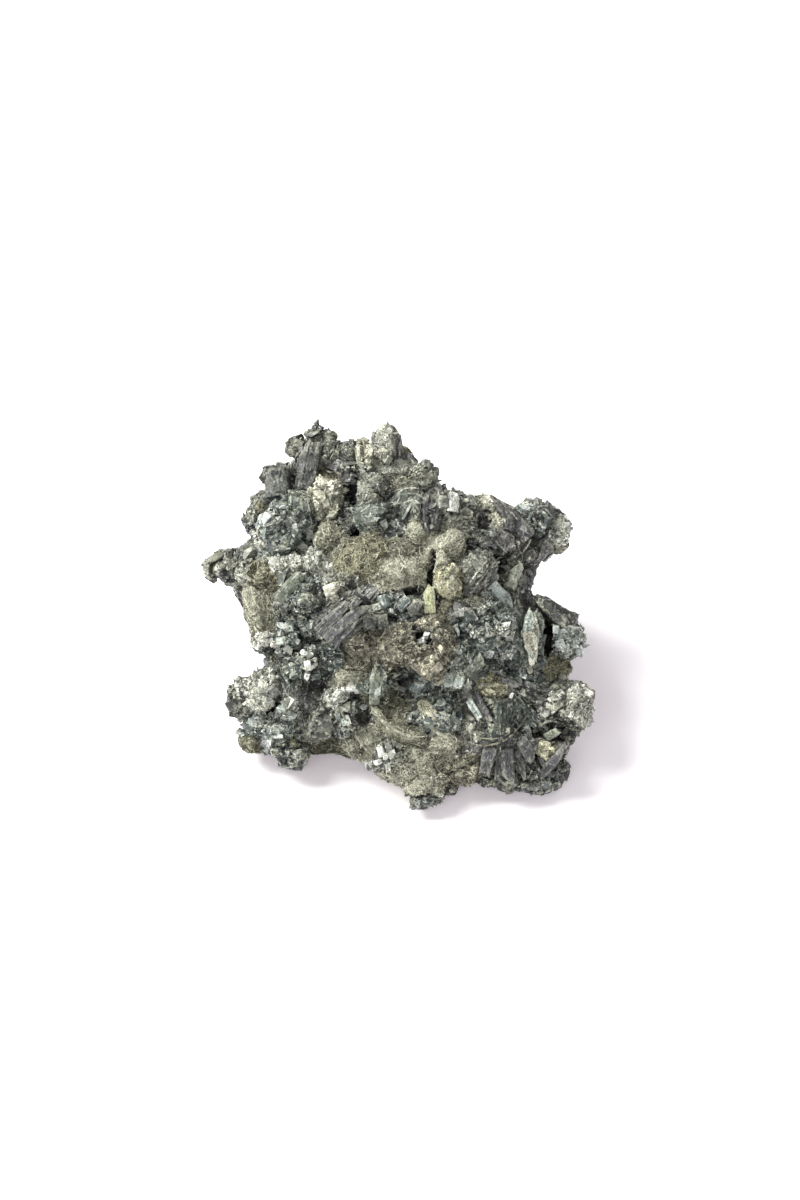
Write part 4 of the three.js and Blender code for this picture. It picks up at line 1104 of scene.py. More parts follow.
# %% Tabular blades, which lie along the grain
def grow_blades():
    places, facing, which, random = strew("blades", tries=40000, most=4500, seed=101)
    finish, n = LUMP_FINISH[which], len(which)
    bundled = np.isin(finish, [FINISHES.index("slate"), FAN])
    in_bundle = bundled[:, None]
    along = grain_direction(places, which) * random.choice([1, 1, -1], n)[:, None]
    along = unit(along + np.where(in_bundle, 0.10, 0.6) * random.normal(size=places.shape))
    along = laid_down(along, facing, np.where(in_bundle, 0.9, 0.5))
    along = unit(along + facing * np.where(in_bundle, 0.06, 0.35))
    side = unit(np.cross(along, facing) + 0.5 * across(along, random))
    side = unit(laid_down(side, along))
    length = np.where(bundled, random.uniform(2.4, 6.5, n), random.uniform(1.2, 3.2, n))
    upright = np.abs(np.einsum("ij,ij->i", along, facing))
    length *= np.minimum(1, 2.2 / (0.1 + length * upright))  # few stand up far
    width = length * random.uniform(0.2, 0.4, n)
    thickness = length * random.uniform(0.1, 0.24, n)
    sizes = np.stack([width, length, thickness], axis=1)
    tone = random_tone(random, which, level=0.40, spread=0.20) + 0.12 * layered_noise(places, 8, 2, 73)
    colours = shaded(BLADE, finish, tone, by_end=0.3, by_level=0.1)
    return joined_copies("tabular_blades", BLADE, places, along, side, sizes, colours, GLASSY[finish])


blades = grow_blades()


# %% Blocky druse grains, in clumps that take up half the skin
def grow_grains():
    places, facing, which, random = strew("grains", tries=100000, most=40000, seed=102)
    keep = np.flatnonzero(layered_noise(places, 6, 2, 79) > 0)[:16000]
    places, facing, which = places[keep], facing[keep], which[keep]
    finish, n = LUMP_FINISH[which], len(which)
    along = unit(facing + random.normal(size=places.shape) * 0.8)
    side = across(along, random)
    size = 0.4 + 0.4 * random.gamma(1.5, 0.9, n)
    spreads = ((0.6, 1.1), (0.9, 1.7), (0.3, 0.8))  # of width, length and thickness
    sizes = np.stack([size * random.uniform(*spread, n) for spread in spreads], axis=1)
    tone = random_tone(random, which, level=0.34, spread=0.28) + 0.20 * layered_noise(places, 5, 3, 75)
    colours = shaded(GRAIN, finish, tone, by_end=0.3, by_level=0.0, by_painted_reflection=0.24)
    roots = places - 0.1 * size[:, None] * facing
    return joined_copies("druse_grains", GRAIN, roots, along, side, sizes, colours, GLASSY[finish])


druse = grow_grains()


# %% Felt fibres
def grow_fibres():
    places, facing, which, random = strew("fibres", tries=300000, most=28000, seed=103)
    finish, n = LUMP_FINISH[which], len(which)
    along = drift(places, 6, 81) + 0.45 * random.normal(size=places.shape)
    along = unit(laid_down(along, facing, 0.85) + 0.1 * facing)
    side = across(along, random)
    width = random.uniform(0.12, 0.34, n)
    sizes = np.stack([width, random.uniform(0.8, 3.0, n), width], axis=1)
    tone = random_tone(random, which, level=0.60, spread=0.36)
    colours = shaded(FIBRE, finish, tone, by_end=0.2, by_level=0.0)
    roots = places + 0.12 * facing
    return joined_copies("felt_fibres", FIBRE, roots, along, side, sizes, colours, np.zeros(n))


felt = grow_fibres()


# %% Settled dust grains
def grow_dust():
    places, facing, which, random = strew("dust", tries=60000, most=22000, seed=104)
    finish, n = LUMP_FINISH[which], len(which)
    along = unit(random.normal(size=places.shape))
    side = across(along, random)
    sizes = random.uniform(0.25, 0.7, (n, 1)) * random.uniform(0.7, 1.3, (n, 3))
    tone = random_tone(random, which, level=0.60, spread=0.34)
    colours = shaded(DUST_GRAIN, finish, tone, by_end=0.0, by_level=0.0)
    roots = places + 0.1 * facing
    return joined_copies("dust_grains", DUST_GRAIN, roots, along, side, sizes, colours, np.full(n, 0.3))


dust = grow_dust()

# %% [markdown]
# ## Laminae and hairs
# Thin sheets of crystal that end at the skin show as long pale lines: round a knob, along the rim
# of a hollow, down a blade. Those that catch the eye are listed as lines in the face.
# Over the felted parts lie curved hairs, which all drift one way for a few millimetres. Both are
# laid on the pushed skin and are tapering tubes with four sides.

# %% Tubes laid on the skin
PUSHED = BVHTree.FromPolygons(pushed.tolist(), TRIANGLES.tolist())


def tube_faces(stations):
    """The faces of one tube: four sides all along it and a cap at each end."""
    j, i = np.meshgrid(np.arange(stations - 1), np.arange(4), indexing="ij")
    low, high, following = 4 * j, 4 * j + 4, (i + 1) % 4
    quads = np.stack([low + i, low + following, high + following, high + i], axis=-1).reshape(-1, 4)
    return np.concatenate([quads, [[3, 2, 1, 0]], [4 * (stations - 1) + np.arange(4)]])


def joined_tubes(name, paths, facing, widths, finish, tone, flatness):
    """A mesh of one tapering four-sided tube per path, its outer side where facing says."""
    n, m = paths.shape[:2]
    random = np.random.default_rng(n)
    along = unit(np.gradient(paths, axis=1))
    side = unit(np.cross(along, facing))
    out = np.cross(side, along)
    t = np.linspace(-1, 1, m)
    uneven = random.uniform(0.7, 1.2, (n, m))
    wide = widths[:, None] * np.sqrt(np.clip(1 - t * t, 0.03, 1)) * uneven / 2
    turns = np.arange(4) * np.pi / 2
    sideways = np.cos(turns)[:, None] * side[:, :, None]
    outward = flatness * np.sin(turns)[:, None] * out[:, :, None]
    points = (paths[:, :, None] + wide[:, :, None, None] * (sideways + outward)).reshape(-1, 3)
    points[:, 2] = np.maximum(points[:, 2], 0.0)
    quads = tube_faces(m)
    faces = (quads[None] + (np.arange(n) * 4 * m)[:, None, None]).reshape(-1, 4)
    mesh = bpy.data.meshes.new(name)
    mesh.from_pydata((points * MM).tolist(), [], faces.tolist())
    mesh.shade_flat()
    tones = tone[:, None] + 0.16 * random.normal(size=(n, len(quads)))
    colours = tint_of(np.repeat(finish, len(quads)), np.clip(tones.ravel(), 0, 1))
    store(mesh, colours, np.repeat(GLASSY[finish], 4 * m), np.full(n * 4 * m, 0.4), points, "FACE")
    print(name + ":", n, "tubes,", 2 * len(faces), "triangles")
    return new_piece(name, mesh)


# %% Laminae one by one
LAMINAE = [
    # finish, tone, width in mm, then the points u, v that the line runs through
    ("white_druse", 0.85, 0.7, (-31.3, 38.5), (-30.4, 34), (-29.8, 29), (-29.2, 25), (-27.8, 22.2)),
    ("white", 0.70, 1.1, (-47.6, 27), (-46.6, 24.5), (-43.5, 22), (-40, 21.4)),
    ("white_druse", 0.70, 0.8, (-45, 32), (-42, 33.5), (-38, 33), (-35, 30.5), (-34, 27)),
    ("white", 0.60, 0.9, (-36, 29.4), (-34.5, 25), (-33, 21.5)),
    ("ridge", 0.34, 0.7, (22.5, -42.5), (27, -43.2), (32, -42.6), (36, -40.6), (39.5, -37), (42, -34)),
    ("ridge", 0.56, 0.4, (24, -40), (28, -41), (33, -40.5), (37, -38)),
    ("dusty", 0.66, 1.1, (7.5, -29), (8.2, -33), (11, -37.5), (15, -40.5), (20, -42)),
    ("dusty", 0.80, 0.5, (7, -31), (9, -36), (13, -40)),
    ("dusty", 0.50, 1.3, (-10, -29), (-7.5, -33), (-4.5, -36.5), (0, -39), (5, -40.5), (9, -40)),
    ("dusty", 0.66, 0.5, (-9, -31), (-5, -36), (-1, -38.5)),
    ("dusty", 0.55, 1.3, (-20, -31), (-16, -38), (-12, -43.5), (-9, -47)),
    ("white_druse", 0.45, 0.9, (-23, -27), (-19, -31), (-13, -33)),
    ("dusty", 0.72, 0.8, (9, -57), (13, -53), (18, -51.5), (23, -52.5), (25, -54)),
    ("dusty", 0.65, 0.6, (11, -59), (15, -57), (20, -56.5)),
    ("green_druse", 0.88, 1.0, (31, 25.5), (33.5, 22.5), (36, 20.5)),
    ("cream", 0.80, 0.8, (41.5, 21), (43.5, 24), (44.6, 27)),
    ("cream", 0.66, 0.7, (39.5, 10.5), (41.5, 12.5), (43, 15)),
    ("cream", 0.66, 0.9, (39, 34), (41.5, 37), (44, 37.6), (48, 36), (49.5, 33)),
    ("white_druse", 0.76, 0.8, (41.5, 31), (44, 27.8), (47, 28)),
    ("white_druse", 0.76, 0.8, (46, 35), (48.8, 33.5), (48.5, 31)),
    ("cream", 0.66, 1.0, (51, 33), (54, 31.2), (55.4, 28), (54.4, 24.5)),
    ("cream", 0.60, 0.7, (51, 27), (53, 24), (54.6, 22.5)),
    ("white_druse", 0.48, 0.8, (-1, 37), (2, 39.8), (6, 40), (8, 37.5), (7, 34)),
    ("white_druse", 0.55, 0.6, (0, 35), (3, 37.6), (6, 37), (6.4, 34)),
    ("white_druse", 0.50, 0.5, (1, 33), (3.5, 35), (5, 33.5)),
    ("white_druse", 0.55, 0.7, (-4, 40), (0, 41.8), (6, 42.2), (10.5, 42.2)),
    ("grey", 0.74, 1.0, (20.5, 6), (25, 13), (29.5, 18.5)),
    ("grey", 0.64, 0.8, (23, 6), (27, 12), (31, 17)),
    ("fan", 0.84, 0.8, (-44, 16), (-40, 15), (-36, 13), (-33, 11)),
    ("felt", 0.72, 0.9, (-55, 9), (-52, 5), (-50, 0)),
    ("grey", 0.72, 0.8, (46, -37.5), (50, -35.5), (54, -36.5)),
    ("cream", 0.50, 0.8, (-35, 53.6), (-31, 55.4), (-28, 53), (-27.5, 49)),
    ("grey", 0.60, 0.7, (-19, 53.5), (-14, 51), (-9, 51)),
    ("cream", 0.92, 2.2, (48.5, -30.6), (50.5, -31.6), (52.8, -30.6), (53.8, -28.2)),
]
STATIONS = 22  # places along each line


def along_line(points):
    """Evenly spaced places on the pushed skin along a smooth line through the given points."""
    points = np.array(points, float)
    gone = np.r_[0, np.cumsum(np.linalg.norm(np.diff(points, axis=0), axis=1))]
    here = np.linspace(0, gone[-1], STATIONS)
    bends = min(3, len(points) - 1)
    curve = [np.polyval(np.polyfit(gone, points[:, k], bends), here) for k in (0, 1)]
    level = []
    for u, v in zip(*curve):
        hit = PUSHED.ray_cast(Vector(from_face(u, v, ABOVE)), -Vector(FACE_W))[0]
        level.append(np.nan if hit is None else (np.array(hit) - FACE_ORIGIN) @ FACE_W)
    level = np.array(level)
    level = np.where(np.isnan(level), np.nanmedian(level), level)
    padded = np.pad(level, 2, mode="edge")
    level = np.maximum(level - 0.1, np.convolve(padded, np.ones(5) / 5, "valid"))
    return np.stack([from_face(u, v, w + 0.1) for u, v, w in zip(*curve, level)])


def grow_laminae():
    names, tones, widths = (np.array(column) for column in zip(*(row[:3] for row in LAMINAE)))
    finish = np.array([FINISHES.index(name) for name in names])
    paths = np.stack([along_line(points) for _, _, _, *points in LAMINAE])
    facing = np.broadcast_to(FACE_W, paths.shape)
    return joined_tubes("laminae", paths, facing, widths, finish, tones, flatness=0.8)


laminae = grow_laminae()

# %% Curved hairs over the felted parts
HAIR_STATIONS = 8  # places along each hair


def grow_hairs():
    places, facing, which, random = strew("fibres", tries=60000, most=2200, seed=106)
    n = len(places)
    step = random.uniform(0.35, 1.1, n)[:, None]
    curl = 0.35 * random.normal(size=n)[:, None]
    along = drift(places, 9, 85) + 0.3 * random.normal(size=places.shape)
    along = unit(laid_down(along, facing))
    paths = np.zeros((n, HAIR_STATIONS, 3))
    here = places
    for k in range(HAIR_STATIONS):
        here = np.array([PUSHED.find_nearest(Vector(place))[0] for place in here])
        paths[:, k] = here + 0.14 * facing
        swerve = 0.15 * random.normal(size=along.shape)
        along = unit(along + curl * np.cross(along, facing) + swerve)
        here = here + step * along + 0.3 * facing
    tone = random_tone(random, which, level=0.74, spread=0.2)
    widths = random.uniform(0.2, 0.46, n)
    outward = np.repeat(facing[:, None], HAIR_STATIONS, axis=1)
    return joined_tubes("felt_hairs", paths, outward, widths, LUMP_FINISH[which], tone, flatness=0.7)


hairs = grow_hairs()

# %% [markdown]
# ## The large crystals
# The crystals that the eye picks out are modelled one by one: a striated column with chipped
# corners and a bevelled or ragged end. Each starts as rings round its length. The rings are a
# rounded rectangle whose sides carry striae, which run on unbroken from ring to ring.

# %% One striated crystal
RING, RINGS = 44, 20  # corners in a ring, and rings from root to tip
BEVEL_FROM = 0.72  # share of the length where the bevelled tip begins


def ring_faces():
    """The faces between the rings, over the tip and under the root."""
    faces = []
    for j in range(RINGS - 1):
        low, high = j * RING, (j + 1) * RING
        faces += [(low + i, low + (i + 1) % RING, high + (i + 1) % RING, high + i) for i in range(RING)]
    top, tip = (RINGS - 1) * RING, RINGS * RING
    faces += [(top + i, top + (i + 1) % RING, tip) for i in range(RING)]
    faces.append(tuple(reversed(range(RING))))
    return faces


def striated_crystal(width, length, thick, taper, random):
    """The corners of one crystal, its root at y = 0, and how pale and how worn each corner is."""
    squareness = random.uniform(2.4, 4.4)
    angle = np.arange(RING) / RING * 2 * np.pi + 0.1
    c, s = np.cos(angle), np.sin(angle)
    radius = (np.abs(c) ** squareness + np.abs(s) ** squareness) ** (-1 / squareness)
    edge = np.clip((radius - 1.0) / 0.15, 0, 1)
    wander = random.uniform(0, 50, 2)
    uneven = 0.10 if taper > 0.4 else 0.16
    pale_tip = 0.12 if taper > 0.2 else 0.45
    spot = np.stack([angle * 1.3, angle * 0 + wander[0], angle * 0], axis=1)
    ragged = 0.16 * smooth_noise(spot, 1.0, 33)
    grooves = 0.025 * random.normal(size=RING) - 0.10 * (random.random(RING) < 0.06)
    ring = np.stack([c * width / 2, np.zeros(RING), s * thick / 2], axis=1)
    cut = random.normal(size=2) * 0.10  # the broken end slants
    bend = random.normal(size=2) * 0.03 * length
    skewed = random.uniform(-0.8, 0.8)  # how far the bevelled tip stands off to one side
    corners, pale, worn = [], [], []
    for j in range(RINGS):
        t = j / (RINGS - 1)
        bevel = np.clip((t - BEVEL_FROM) / 0.28, 0, 1)
        shrink = 1 - taper * bevel
        thin = 1 - 0.6 * taper * bevel
        aside = skewed * (1 - shrink) * width / 2
        here = ring / 0.9 + [0, t * length / 5.0 + 31 * cut[0], 0]
        lasting = np.clip(2.5 * smooth_noise(here * [0.3, 3.0, 0.3], 1.0, 29) + 0.8, 0, 1)
        striae = grooves * lasting + 0.05 * layered_noise(here, 1.0, 2, 23)
        r = radius + striae + 0.012 * random.normal(size=RING)
        reach = t * length * (1 + (cut[0] * c + cut[1] * s) * t + ragged * t**3)
        flanks = np.array([[t * length / 2.6, w, 0.0] for w in wander])
        left, right = 1 + uneven * layered_noise(flanks, 1.0, 2, 35)
        wide = np.where(c > 0, right, left) * shrink * width / 2
        x = r * c * wide + bend[0] * t * t + aside
        z = r * s * thin * thick / 2 + bend[1] * t * t
        corners.append(np.stack([x, reach, z], axis=1))
        pale.append(0.15 * edge + 2.0 * striae + pale_tip * np.clip((t - 0.7) / 0.3, 0, 1) ** 2)
        worn.append(np.clip(0.45 * edge + 0.7 * np.clip((t - 0.75) / 0.25, 0, 1), 0, 1))
    tip = corners[-1].mean(axis=0, keepdims=True) + [[0, 0.02 * length, 0]]
    return np.concatenate(corners + [tip]), np.concatenate(pale + [[0.2]]), np.concatenate(worn + [[0.7]])


# %% Their colours
GEM = {
    # name: dark, middle and light, for crystals in colours that no patch has
    "yellow_green": ((58, 62, 44), (118, 124, 90), (194, 198, 156)),
    "blue_green": ((34, 44, 44), (90, 102, 99), (184, 194, 188)),
    "pale_green": ((40, 46, 38), (94, 101, 86), (192, 198, 178)),
    "white_green": ((58, 68, 62), (132, 144, 134), (232, 238, 228)),
    "purple": ((26, 26, 29), (74, 73, 77), (150, 148, 148)),
}


def crystal_tint(name, tone):
    """The colour of each corner of a large crystal."""
    return three_way(*(linear(*colour) for colour in (GEM.get(name) or COLOURS[name])), tone)


# %% Seat and join the large crystals
def seated(u, v, length, turn, rise, lift):
    """The root of a large crystal and its three directions, so that it lies on the solid's skin."""
    flat = along_face(turn)
    stride = np.array([flat @ FACE_U, flat @ FACE_V])
    reach = length * np.linspace(0.05, 0.85, 5)
    level = np.array([on_skin(*(np.array([u, v]) + r * stride)) @ FACE_W for r in reach])
    slope = np.clip(np.polyfit(reach, level, 1)[0], -0.8, 0.5)
    tilt = np.radians(lift) + np.arctan(slope)
    along = np.cos(tilt) * flat + np.sin(tilt) * FACE_W
    side = np.cross(flat, FACE_W)
    root = on_skin(u, v)
    root = root + (np.median(level - slope * reach) - root @ FACE_W + rise) * FACE_W
    return root, side, along, np.cross(side, along)


def grow_large():
    random = np.random.default_rng(77)
    all_points, all_colours, all_own, all_worn, glassy = [], [], [], [], []
    for u, v, width, length, thick, turn, rise, lift, taper, name, tone in LARGE:
        roughness, patches, clear = (0.035, 0.36, 1.0) if name in GEM else (0.05, 0.42, 0.6)
        corners, pale, worn = striated_crystal(width, length, thick, taper, random)
        root, side, along, out = seated(u, v, length, turn, rise, lift)
        points = root + corners[:, 0:1] * side + corners[:, 1:2] * along + corners[:, 2:3] * out
        rough = np.stack([layered_noise(points, 1.6, 2, salt) for salt in (301, 302, 303)], axis=1)
        steps = grains(points + 7 * len(all_points), 1.7, 71)[0] - 0.5
        points += roughness * thick * (rough + 2.0 * steps)
        points[:, 2] = np.maximum(points[:, 2], 0.0)
        all_points.append(points)
        patchy = patches * layered_noise(points, 2.4, 3, 311) + 0.08 * random.normal(size=len(pale))
        all_colours.append(crystal_tint(name, np.clip(tone + 0.6 * pale - 0.06 + patchy, 0, 1)))
        all_own.append(corners + 9.0 * len(all_points))
        all_worn.append(worn)
        glassy.append(np.full(len(corners), clear))
    step = RINGS * RING + 1
    faces = [tuple(i + k * step for i in face) for k in range(len(LARGE)) for face in ring_faces()]
    mesh = bpy.data.meshes.new("large_crystals")
    mesh.from_pydata((np.concatenate(all_points) * MM).tolist(), [], faces)
    store(mesh, *(np.concatenate(rows) for rows in (all_colours, glassy, all_worn, all_own)))
    print("large_crystals:", len(LARGE), "crystals,", sum(len(f) - 2 for f in faces), "triangles")
    return new_piece("large_crystals", mesh)


large = grow_large()

# %% [markdown]
# ## Finishes that the mesh can't hold
# Five effects are finer than any crystal here: a salt-and-pepper speckle, pale dust that has
# settled on what faces up, bright lines where slivers of crystal end, which also serve as painted
# highlights on crystal edges, powdery wear on the crests, and striae along the grain. Every material
# uses them all in its own measure, so each effect is a node group with its own inputs.


# %% Shader node helpers
def new_group(name, inputs, outputs):
    """An empty shader node group with number inputs, and outputs of the given kinds."""
    group = bpy.data.node_groups.new(name, "ShaderNodeTree")
    for socket, value in inputs:
        number = group.interface.new_socket(socket, in_out="INPUT", socket_type="NodeSocketFloat")
        number.default_value = value
    for socket, kind in outputs:
        group.interface.new_socket(socket, in_out="OUTPUT", socket_type="NodeSocket" + kind)
    return group, group.nodes.new("NodeGroupInput"), group.nodes.new("NodeGroupOutput")


def place(tree, kind, links=None, **settings):
    """Adds a node, sets its plain settings, and links or fills the inputs named in links."""
    node = tree.nodes.new("ShaderNode" + kind)
    for key, value in settings.items():
        setattr(node, key, value)
    for key, value in (links or {}).items():
        if isinstance(value, bpy.types.NodeSocket):
            tree.links.new(value, node.inputs[key])
        else:
            node.inputs[key].default_value = value
    return node


def math(tree, operation, a, b=0.0, clamp=False):
    return place(tree, "Math", {0: a, 1: b}, operation=operation, use_clamp=clamp).outputs[0]


def ramp(tree, value, start, gain, clamp=True):
    """How far the value is past the start, times the gain, from 0 to 1 if it is clamped."""
    return math(tree, "MULTIPLY", math(tree, "SUBTRACT", value, start), gain, clamp)


def vector_math(tree, operation, links):
    return place(tree, "VectorMath", links, operation=operation).outputs[0]


def mix_colour(tree, share, a, b, blend="MIX"):
    return place(tree, "Mix", {0: share, 6: a, 7: b}, data_type="RGBA", blend_type=blend).outputs[2]


def noise(tree, where, scale, detail, roughness=0.5):
    links = {"Vector": where, "Scale": scale, "Detail": detail, "Roughness": roughness}
    return place(tree, "TexNoise", links).outputs


def from_mesh(tree, name):
    """What the mesh carries under this name."""
    return place(tree, "Attribute", attribute_name=name).outputs


# %% The speckle group
CELL_SHARE, FINE_SHARE = 0.36, 1.14  # of the speckle's height: from whole grains, from fine noise
USUAL_HEIGHT = 0.75  # where the tint stays as it is
DARKEST = 0.22  # times the tint
PATCHES = 240.0  # per metre, where the speckle is stronger or weaker


def make_speckle():
    """Salt and pepper: a factor round 1 for the tint, a height for the bump, and glints that turn
    each grain's normal its own way."""
    inputs = [("Grain mm", 0.6), ("Contrast", 0.5), ("Glints", 0.5)]
    outputs = [("Factor", "Float"), ("Height", "Float"), ("Normal", "Vector")]
    group, given, out = new_group("speckle", inputs, outputs)
    scale = math(group, "DIVIDE", 1000.0, given.outputs["Grain mm"])
    spot = place(group, "TexCoord").outputs["Object"]
    cell = place(group, "TexVoronoi", {"Vector": spot, "Scale": scale}, feature="F1").outputs["Color"]
    fine = noise(group, spot, math(group, "MULTIPLY", scale, 0.45), 4.0, 0.7)["Fac"]
    random = place(group, "SeparateColor", {"Color": cell}).outputs[0]
    coarse = math(group, "MULTIPLY", random, CELL_SHARE)
    height = math(group, "ADD", coarse, math(group, "MULTIPLY", fine, FINE_SHARE))
    patch = noise(group, spot, PATCHES, 2.0)["Fac"]
    limits = {"From Min": 0.4, "From Max": 0.6, "To Min": 1.2, "To Max": 4.4}
    patchy = place(group, "MapRange", {"Value": patch, **limits}).outputs[0]
    contrast = math(group, "MULTIPLY", given.outputs["Contrast"], patchy)
    swing = math(group, "MULTIPLY", math(group, "SUBTRACT", height, USUAL_HEIGHT), contrast)
    factor = math(group, "MAXIMUM", math(group, "ADD", swing, 1.0), DARKEST)
    turned = vector_math(group, "SUBTRACT", {0: cell, 1: (0.5, 0.5, 0.5)})
    turned = vector_math(group, "SCALE", {0: turned, "Scale": given.outputs["Glints"]})
    normal = place(group, "NewGeometry").outputs["Normal"]
    normal = vector_math(group, "NORMALIZE", {0: vector_math(group, "ADD", {0: normal, 1: turned})})
    for socket, value in (("Factor", factor), ("Height", height), ("Normal", normal)):
        group.links.new(value, out.inputs[socket])
    return group


SPECKLE = make_speckle()


# %% The dust group
def make_settled_dust():
    """Where dust lies: on what faces up, broken up by noise."""
    inputs = [("Amount", 0.5), ("Patch mm", 4.0)]
    group, given, out = new_group("settled_dust", inputs, [("Mask", "Float")])
    normal = place(group, "NewGeometry").outputs["Normal"]
    up = place(group, "SeparateXYZ", {0: normal}).outputs["Z"]
    spot = place(group, "TexCoord").outputs["Object"]
    scale = math(group, "DIVIDE", 1000.0, given.outputs["Patch mm"])
    patch = noise(group, spot, scale, 5.0, 0.65)["Fac"]
    lies = math(group, "MULTIPLY", ramp(group, up, 0.15, 1.3), ramp(group, patch, 0.42, 5.0))
    mask = math(group, "MULTIPLY", lies, given.outputs["Amount"], clamp=True)
    group.links.new(mask, out.inputs["Mask"])
    return group


SETTLED_DUST = make_settled_dust()


# %% The bright edges group
def make_bright_edges():
    """Thin pale lines where slivers of crystal end, which also stand in for painted highlights: the
    borders of warped, stretched cells.
    """
    inputs = [("Cell mm", 2.2), ("Width", 0.06)]
    group, given, out = new_group("bright_edges", inputs, [("Mask", "Float")])
    own = from_mesh(group, "grainwise")["Vector"]
    warp = noise(group, own, 0.5, 3.0)["Color"]
    warp = vector_math(group, "SCALE", {0: warp, "Scale": 1.8})
    bent = vector_math(group, "ADD", {0: own, 1: warp})
    squeezed = vector_math(group, "MULTIPLY", {0: bent, 1: (1.0, 0.4, 1.0)})
    links = {"Vector": squeezed, "Scale": math(group, "DIVIDE", 1.0, given.outputs["Cell mm"])}
    border = place(group, "TexVoronoi", links, feature="DISTANCE_TO_EDGE").outputs["Distance"]
    thin = math(group, "SUBTRACT", 1.0, math(group, "DIVIDE", border, given.outputs["Width"]), True)
    gate = ramp(group, noise(group, own, 0.45, 3.0)["Fac"], 0.47, 8.0)
    group.links.new(math(group, "MULTIPLY", thin, gate), out.inputs["Mask"])
    return group


BRIGHT_EDGES = make_bright_edges()


# %% The worn edges group
def make_worn_edges():
    """Pale, powdery wear on the crests that the mesh marks as worn, crumbled at its border."""
    inputs = [("Amount", 0.6), ("Crumb mm", 1.2)]
    group, given, out = new_group("worn_edges", inputs, [("Mask", "Float")])
    worn = from_mesh(group, "worn")["Fac"]
    spot = place(group, "TexCoord").outputs["Object"]
    scale = math(group, "DIVIDE", 1000.0, given.outputs["Crumb mm"])
    crumb = ramp(group, noise(group, spot, scale, 4.0, 0.7)["Fac"], 0.5, 2.4, clamp=False)
    mask = ramp(group, math(group, "ADD", worn, crumb), 0.35, 3.0)
    group.links.new(math(group, "MULTIPLY", mask, given.outputs["Amount"]), out.inputs["Mask"])
    return group


WORN_EDGES = make_worn_edges()


# %% The striae group
def make_striae():
    """Fine lines along the grain, from the grainwise place that the mesh carries."""
    group, given, out = new_group("striae", [("Spacing mm", 0.3)], [("Height", "Float")])
    own = from_mesh(group, "grainwise")["Vector"]
    squeezed = vector_math(group, "MULTIPLY", {0: own, 1: (1.0, 0.07, 1.0)})
    scale = math(group, "DIVIDE", 1.0, given.outputs["Spacing mm"])
    group.links.new(noise(group, squeezed, scale, 2.0, 0.55)["Fac"], out.inputs["Height"])
    return group


STRIAE = make_striae()

# %% One recipe for every material
DUST_COLOUR = (*linear(160, 159, 141), 1)
# pale sliver ends, which are partly painted highlight
EDGE_COLOUR = (*linear(206, 210, 200), 1)
WORN_COLOUR = (*linear(178, 179, 158), 1)
BUMP_DISTANCE = 0.0004  # metres


def use_group(tree, group, **values):
    node = tree.nodes.new("ShaderNodeGroup")
    node.node_tree = group
    for key, value in values.items():
        node.inputs[key.replace("_", " ")].default_value = value
    return node.outputs


def coated(tree, crystal, dust_mask, bright_edges, worn):
    """The mesh's tint with bright edges, wear and dust over it, each covering the one before."""
    # pale sliver ends, partly painted highlight
    edges = use_group(tree, BRIGHT_EDGES, Cell_mm=2.2, Width=0.09)["Mask"]
    edges = math(tree, "MULTIPLY", math(tree, "MULTIPLY", edges, crystal), bright_edges)
    wear = use_group(tree, WORN_EDGES, Amount=worn, Crumb_mm=1.2)["Mask"]
    coat = mix_colour(tree, edges, from_mesh(tree, "tint")["Color"], EDGE_COLOUR)
    coat = mix_colour(tree, wear, coat, WORN_COLOUR)
    return mix_colour(tree, dust_mask, coat, DUST_COLOUR)


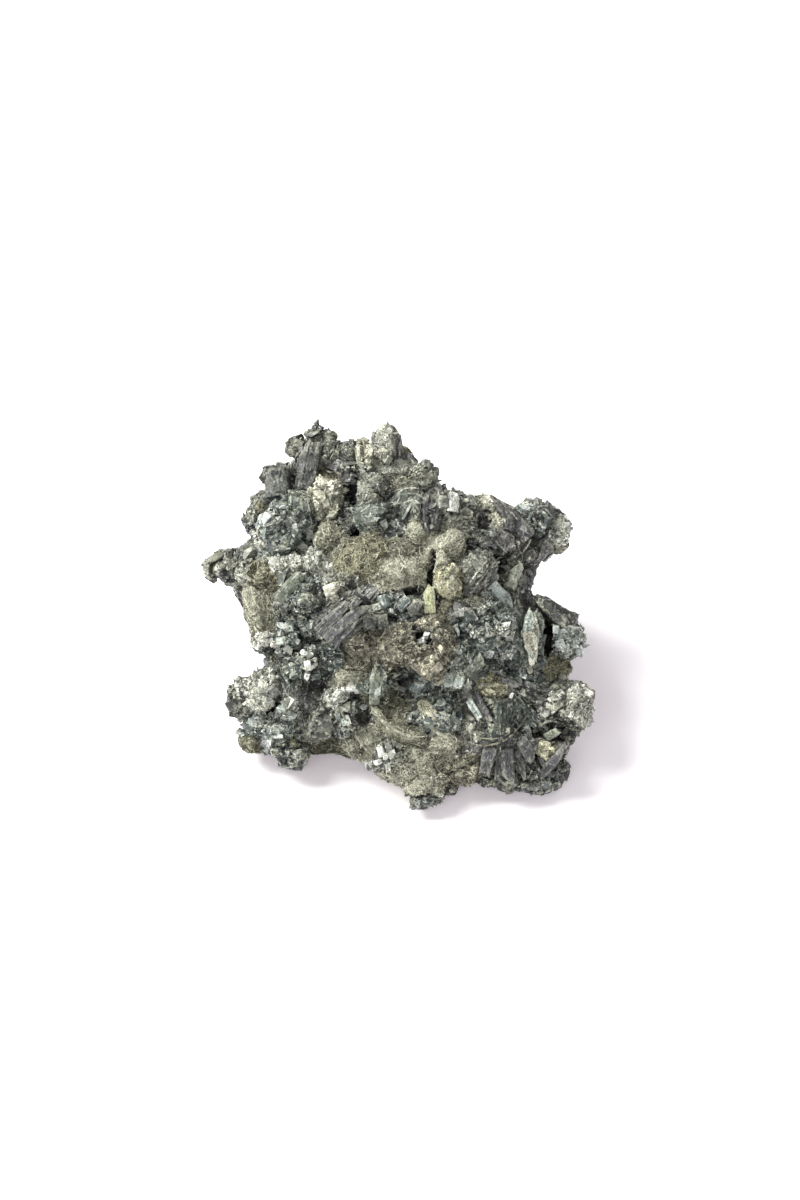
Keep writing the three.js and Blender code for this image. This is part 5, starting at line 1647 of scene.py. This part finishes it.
def mineral(name, grain, contrast, glints, dust_amount, roughness, gloss, bump,
            lines=0.0, bright_edges=0.0, worn=0.4):
    """A material that takes its tint from the mesh and adds speckle, striae, dust and bump."""
    material = bpy.data.materials.new(name)
    material.use_nodes = True
    tree = material.node_tree
    shader = tree.nodes["Principled BSDF"]
    crystal = from_mesh(tree, "crystal")["Fac"]
    speckle = use_group(tree, SPECKLE, Grain_mm=grain, Contrast=contrast, Glints=glints)
    dust_mask = use_group(tree, SETTLED_DUST, Amount=dust_amount, Patch_mm=5.0)["Mask"]
    striae = use_group(tree, STRIAE, Spacing_mm=0.45)["Height"]
    streak = math(tree, "ADD", ramp(tree, striae, 0.5, 4.0 * lines, clamp=False), 1.0)
    factor = math(tree, "MULTIPLY", speckle["Factor"], math(tree, "MAXIMUM", streak, 0.2))
    grey = place(tree, "CombineColor", {0: factor, 1: factor, 2: factor}).outputs[0]
    coat = coated(tree, crystal, dust_mask, bright_edges, worn)
    limits = {"From Min": 0.3, "From Max": 1.1, "To Min": roughness[0], "To Max": roughness[1]}
    rough = place(tree, "MapRange", {"Value": speckle["Height"], **limits}).outputs[0]
    dull = math(tree, "SUBTRACT", 1.0, math(tree, "MULTIPLY", crystal, 0.75))
    dull = math(tree, "MAXIMUM", dull, math(tree, "MULTIPLY", dust_mask, 0.85))
    speckled = math(tree, "MULTIPLY", speckle["Height"], 0.6)
    height = math(tree, "ADD", speckled, math(tree, "MULTIPLY", striae, 2.0 * lines))
    links = {"Height": height, "Strength": bump, "Distance": BUMP_DISTANCE, "Normal": speckle["Normal"]}
    bumped = place(tree, "Bump", links).outputs["Normal"]
    shader.inputs["Specular IOR Level"].default_value = gloss
    tree.links.new(mix_colour(tree, 1.0, coat, grey, "MULTIPLY"), shader.inputs["Base Color"])
    tree.links.new(math(tree, "MAXIMUM", rough, dull), shader.inputs["Roughness"])
    tree.links.new(bumped, shader.inputs["Normal"])
    return material


# %% The materials
BODY_MATERIAL = mineral(
    "crystalline_matrix", grain=0.36, contrast=1.45, glints=0.9, dust_amount=0.25,
    roughness=(0.2, 0.6), gloss=0.5, bump=1.1, lines=0.3, bright_edges=0.7, worn=0.55)
CRYSTAL_MATERIAL = mineral(
    "striated_crystal", grain=0.4, contrast=0.8, glints=0.4, dust_amount=0.25,
    roughness=(0.16, 0.5), gloss=0.6, bump=0.5, lines=0.35, bright_edges=0.6)
LARGE_MATERIAL = mineral(
    "large_crystal", grain=0.4, contrast=0.8, glints=0.3, dust_amount=0.16,
    roughness=(0.16, 0.45), gloss=0.6, bump=0.4, lines=0.35, bright_edges=0.5, worn=0.3)
GRAIN_MATERIAL = mineral(
    "druse_grain", grain=0.36, contrast=1.1, glints=0.4, dust_amount=0.25,
    roughness=(0.14, 0.45), gloss=0.6, bump=0.4)
FELT_MATERIAL = mineral(
    "felted_fibre", grain=0.4, contrast=0.5, glints=0.1, dust_amount=0.2,
    roughness=(0.7, 0.95), gloss=0.2, bump=0.1)
DUST_MATERIAL = mineral(
    "mineral_dust", grain=0.36, contrast=0.6, glints=0.2, dust_amount=0.3,
    roughness=(0.5, 0.9), gloss=0.35, bump=0.1)
print(len(bpy.data.node_groups), "node groups")

# %% [markdown]
# ## Putting it together
# Every piece is rooted in the one solid, so each rides on its body. The broken body stands in for
# the solid, which stays underneath for collision.

# %% Dress, ride and finish
DRESSED = (
    (body, BODY_MATERIAL), (blades, CRYSTAL_MATERIAL), (druse, GRAIN_MATERIAL),
    (felt, FELT_MATERIAL), (dust, DUST_MATERIAL), (slabs, CRYSTAL_MATERIAL),
    (large, LARGE_MATERIAL), (laminae, LARGE_MATERIAL), (hairs, FELT_MATERIAL),
)
for piece, material in DRESSED:
    piece.data.materials.append(material)
    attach(piece, "root")
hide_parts(SOLID)
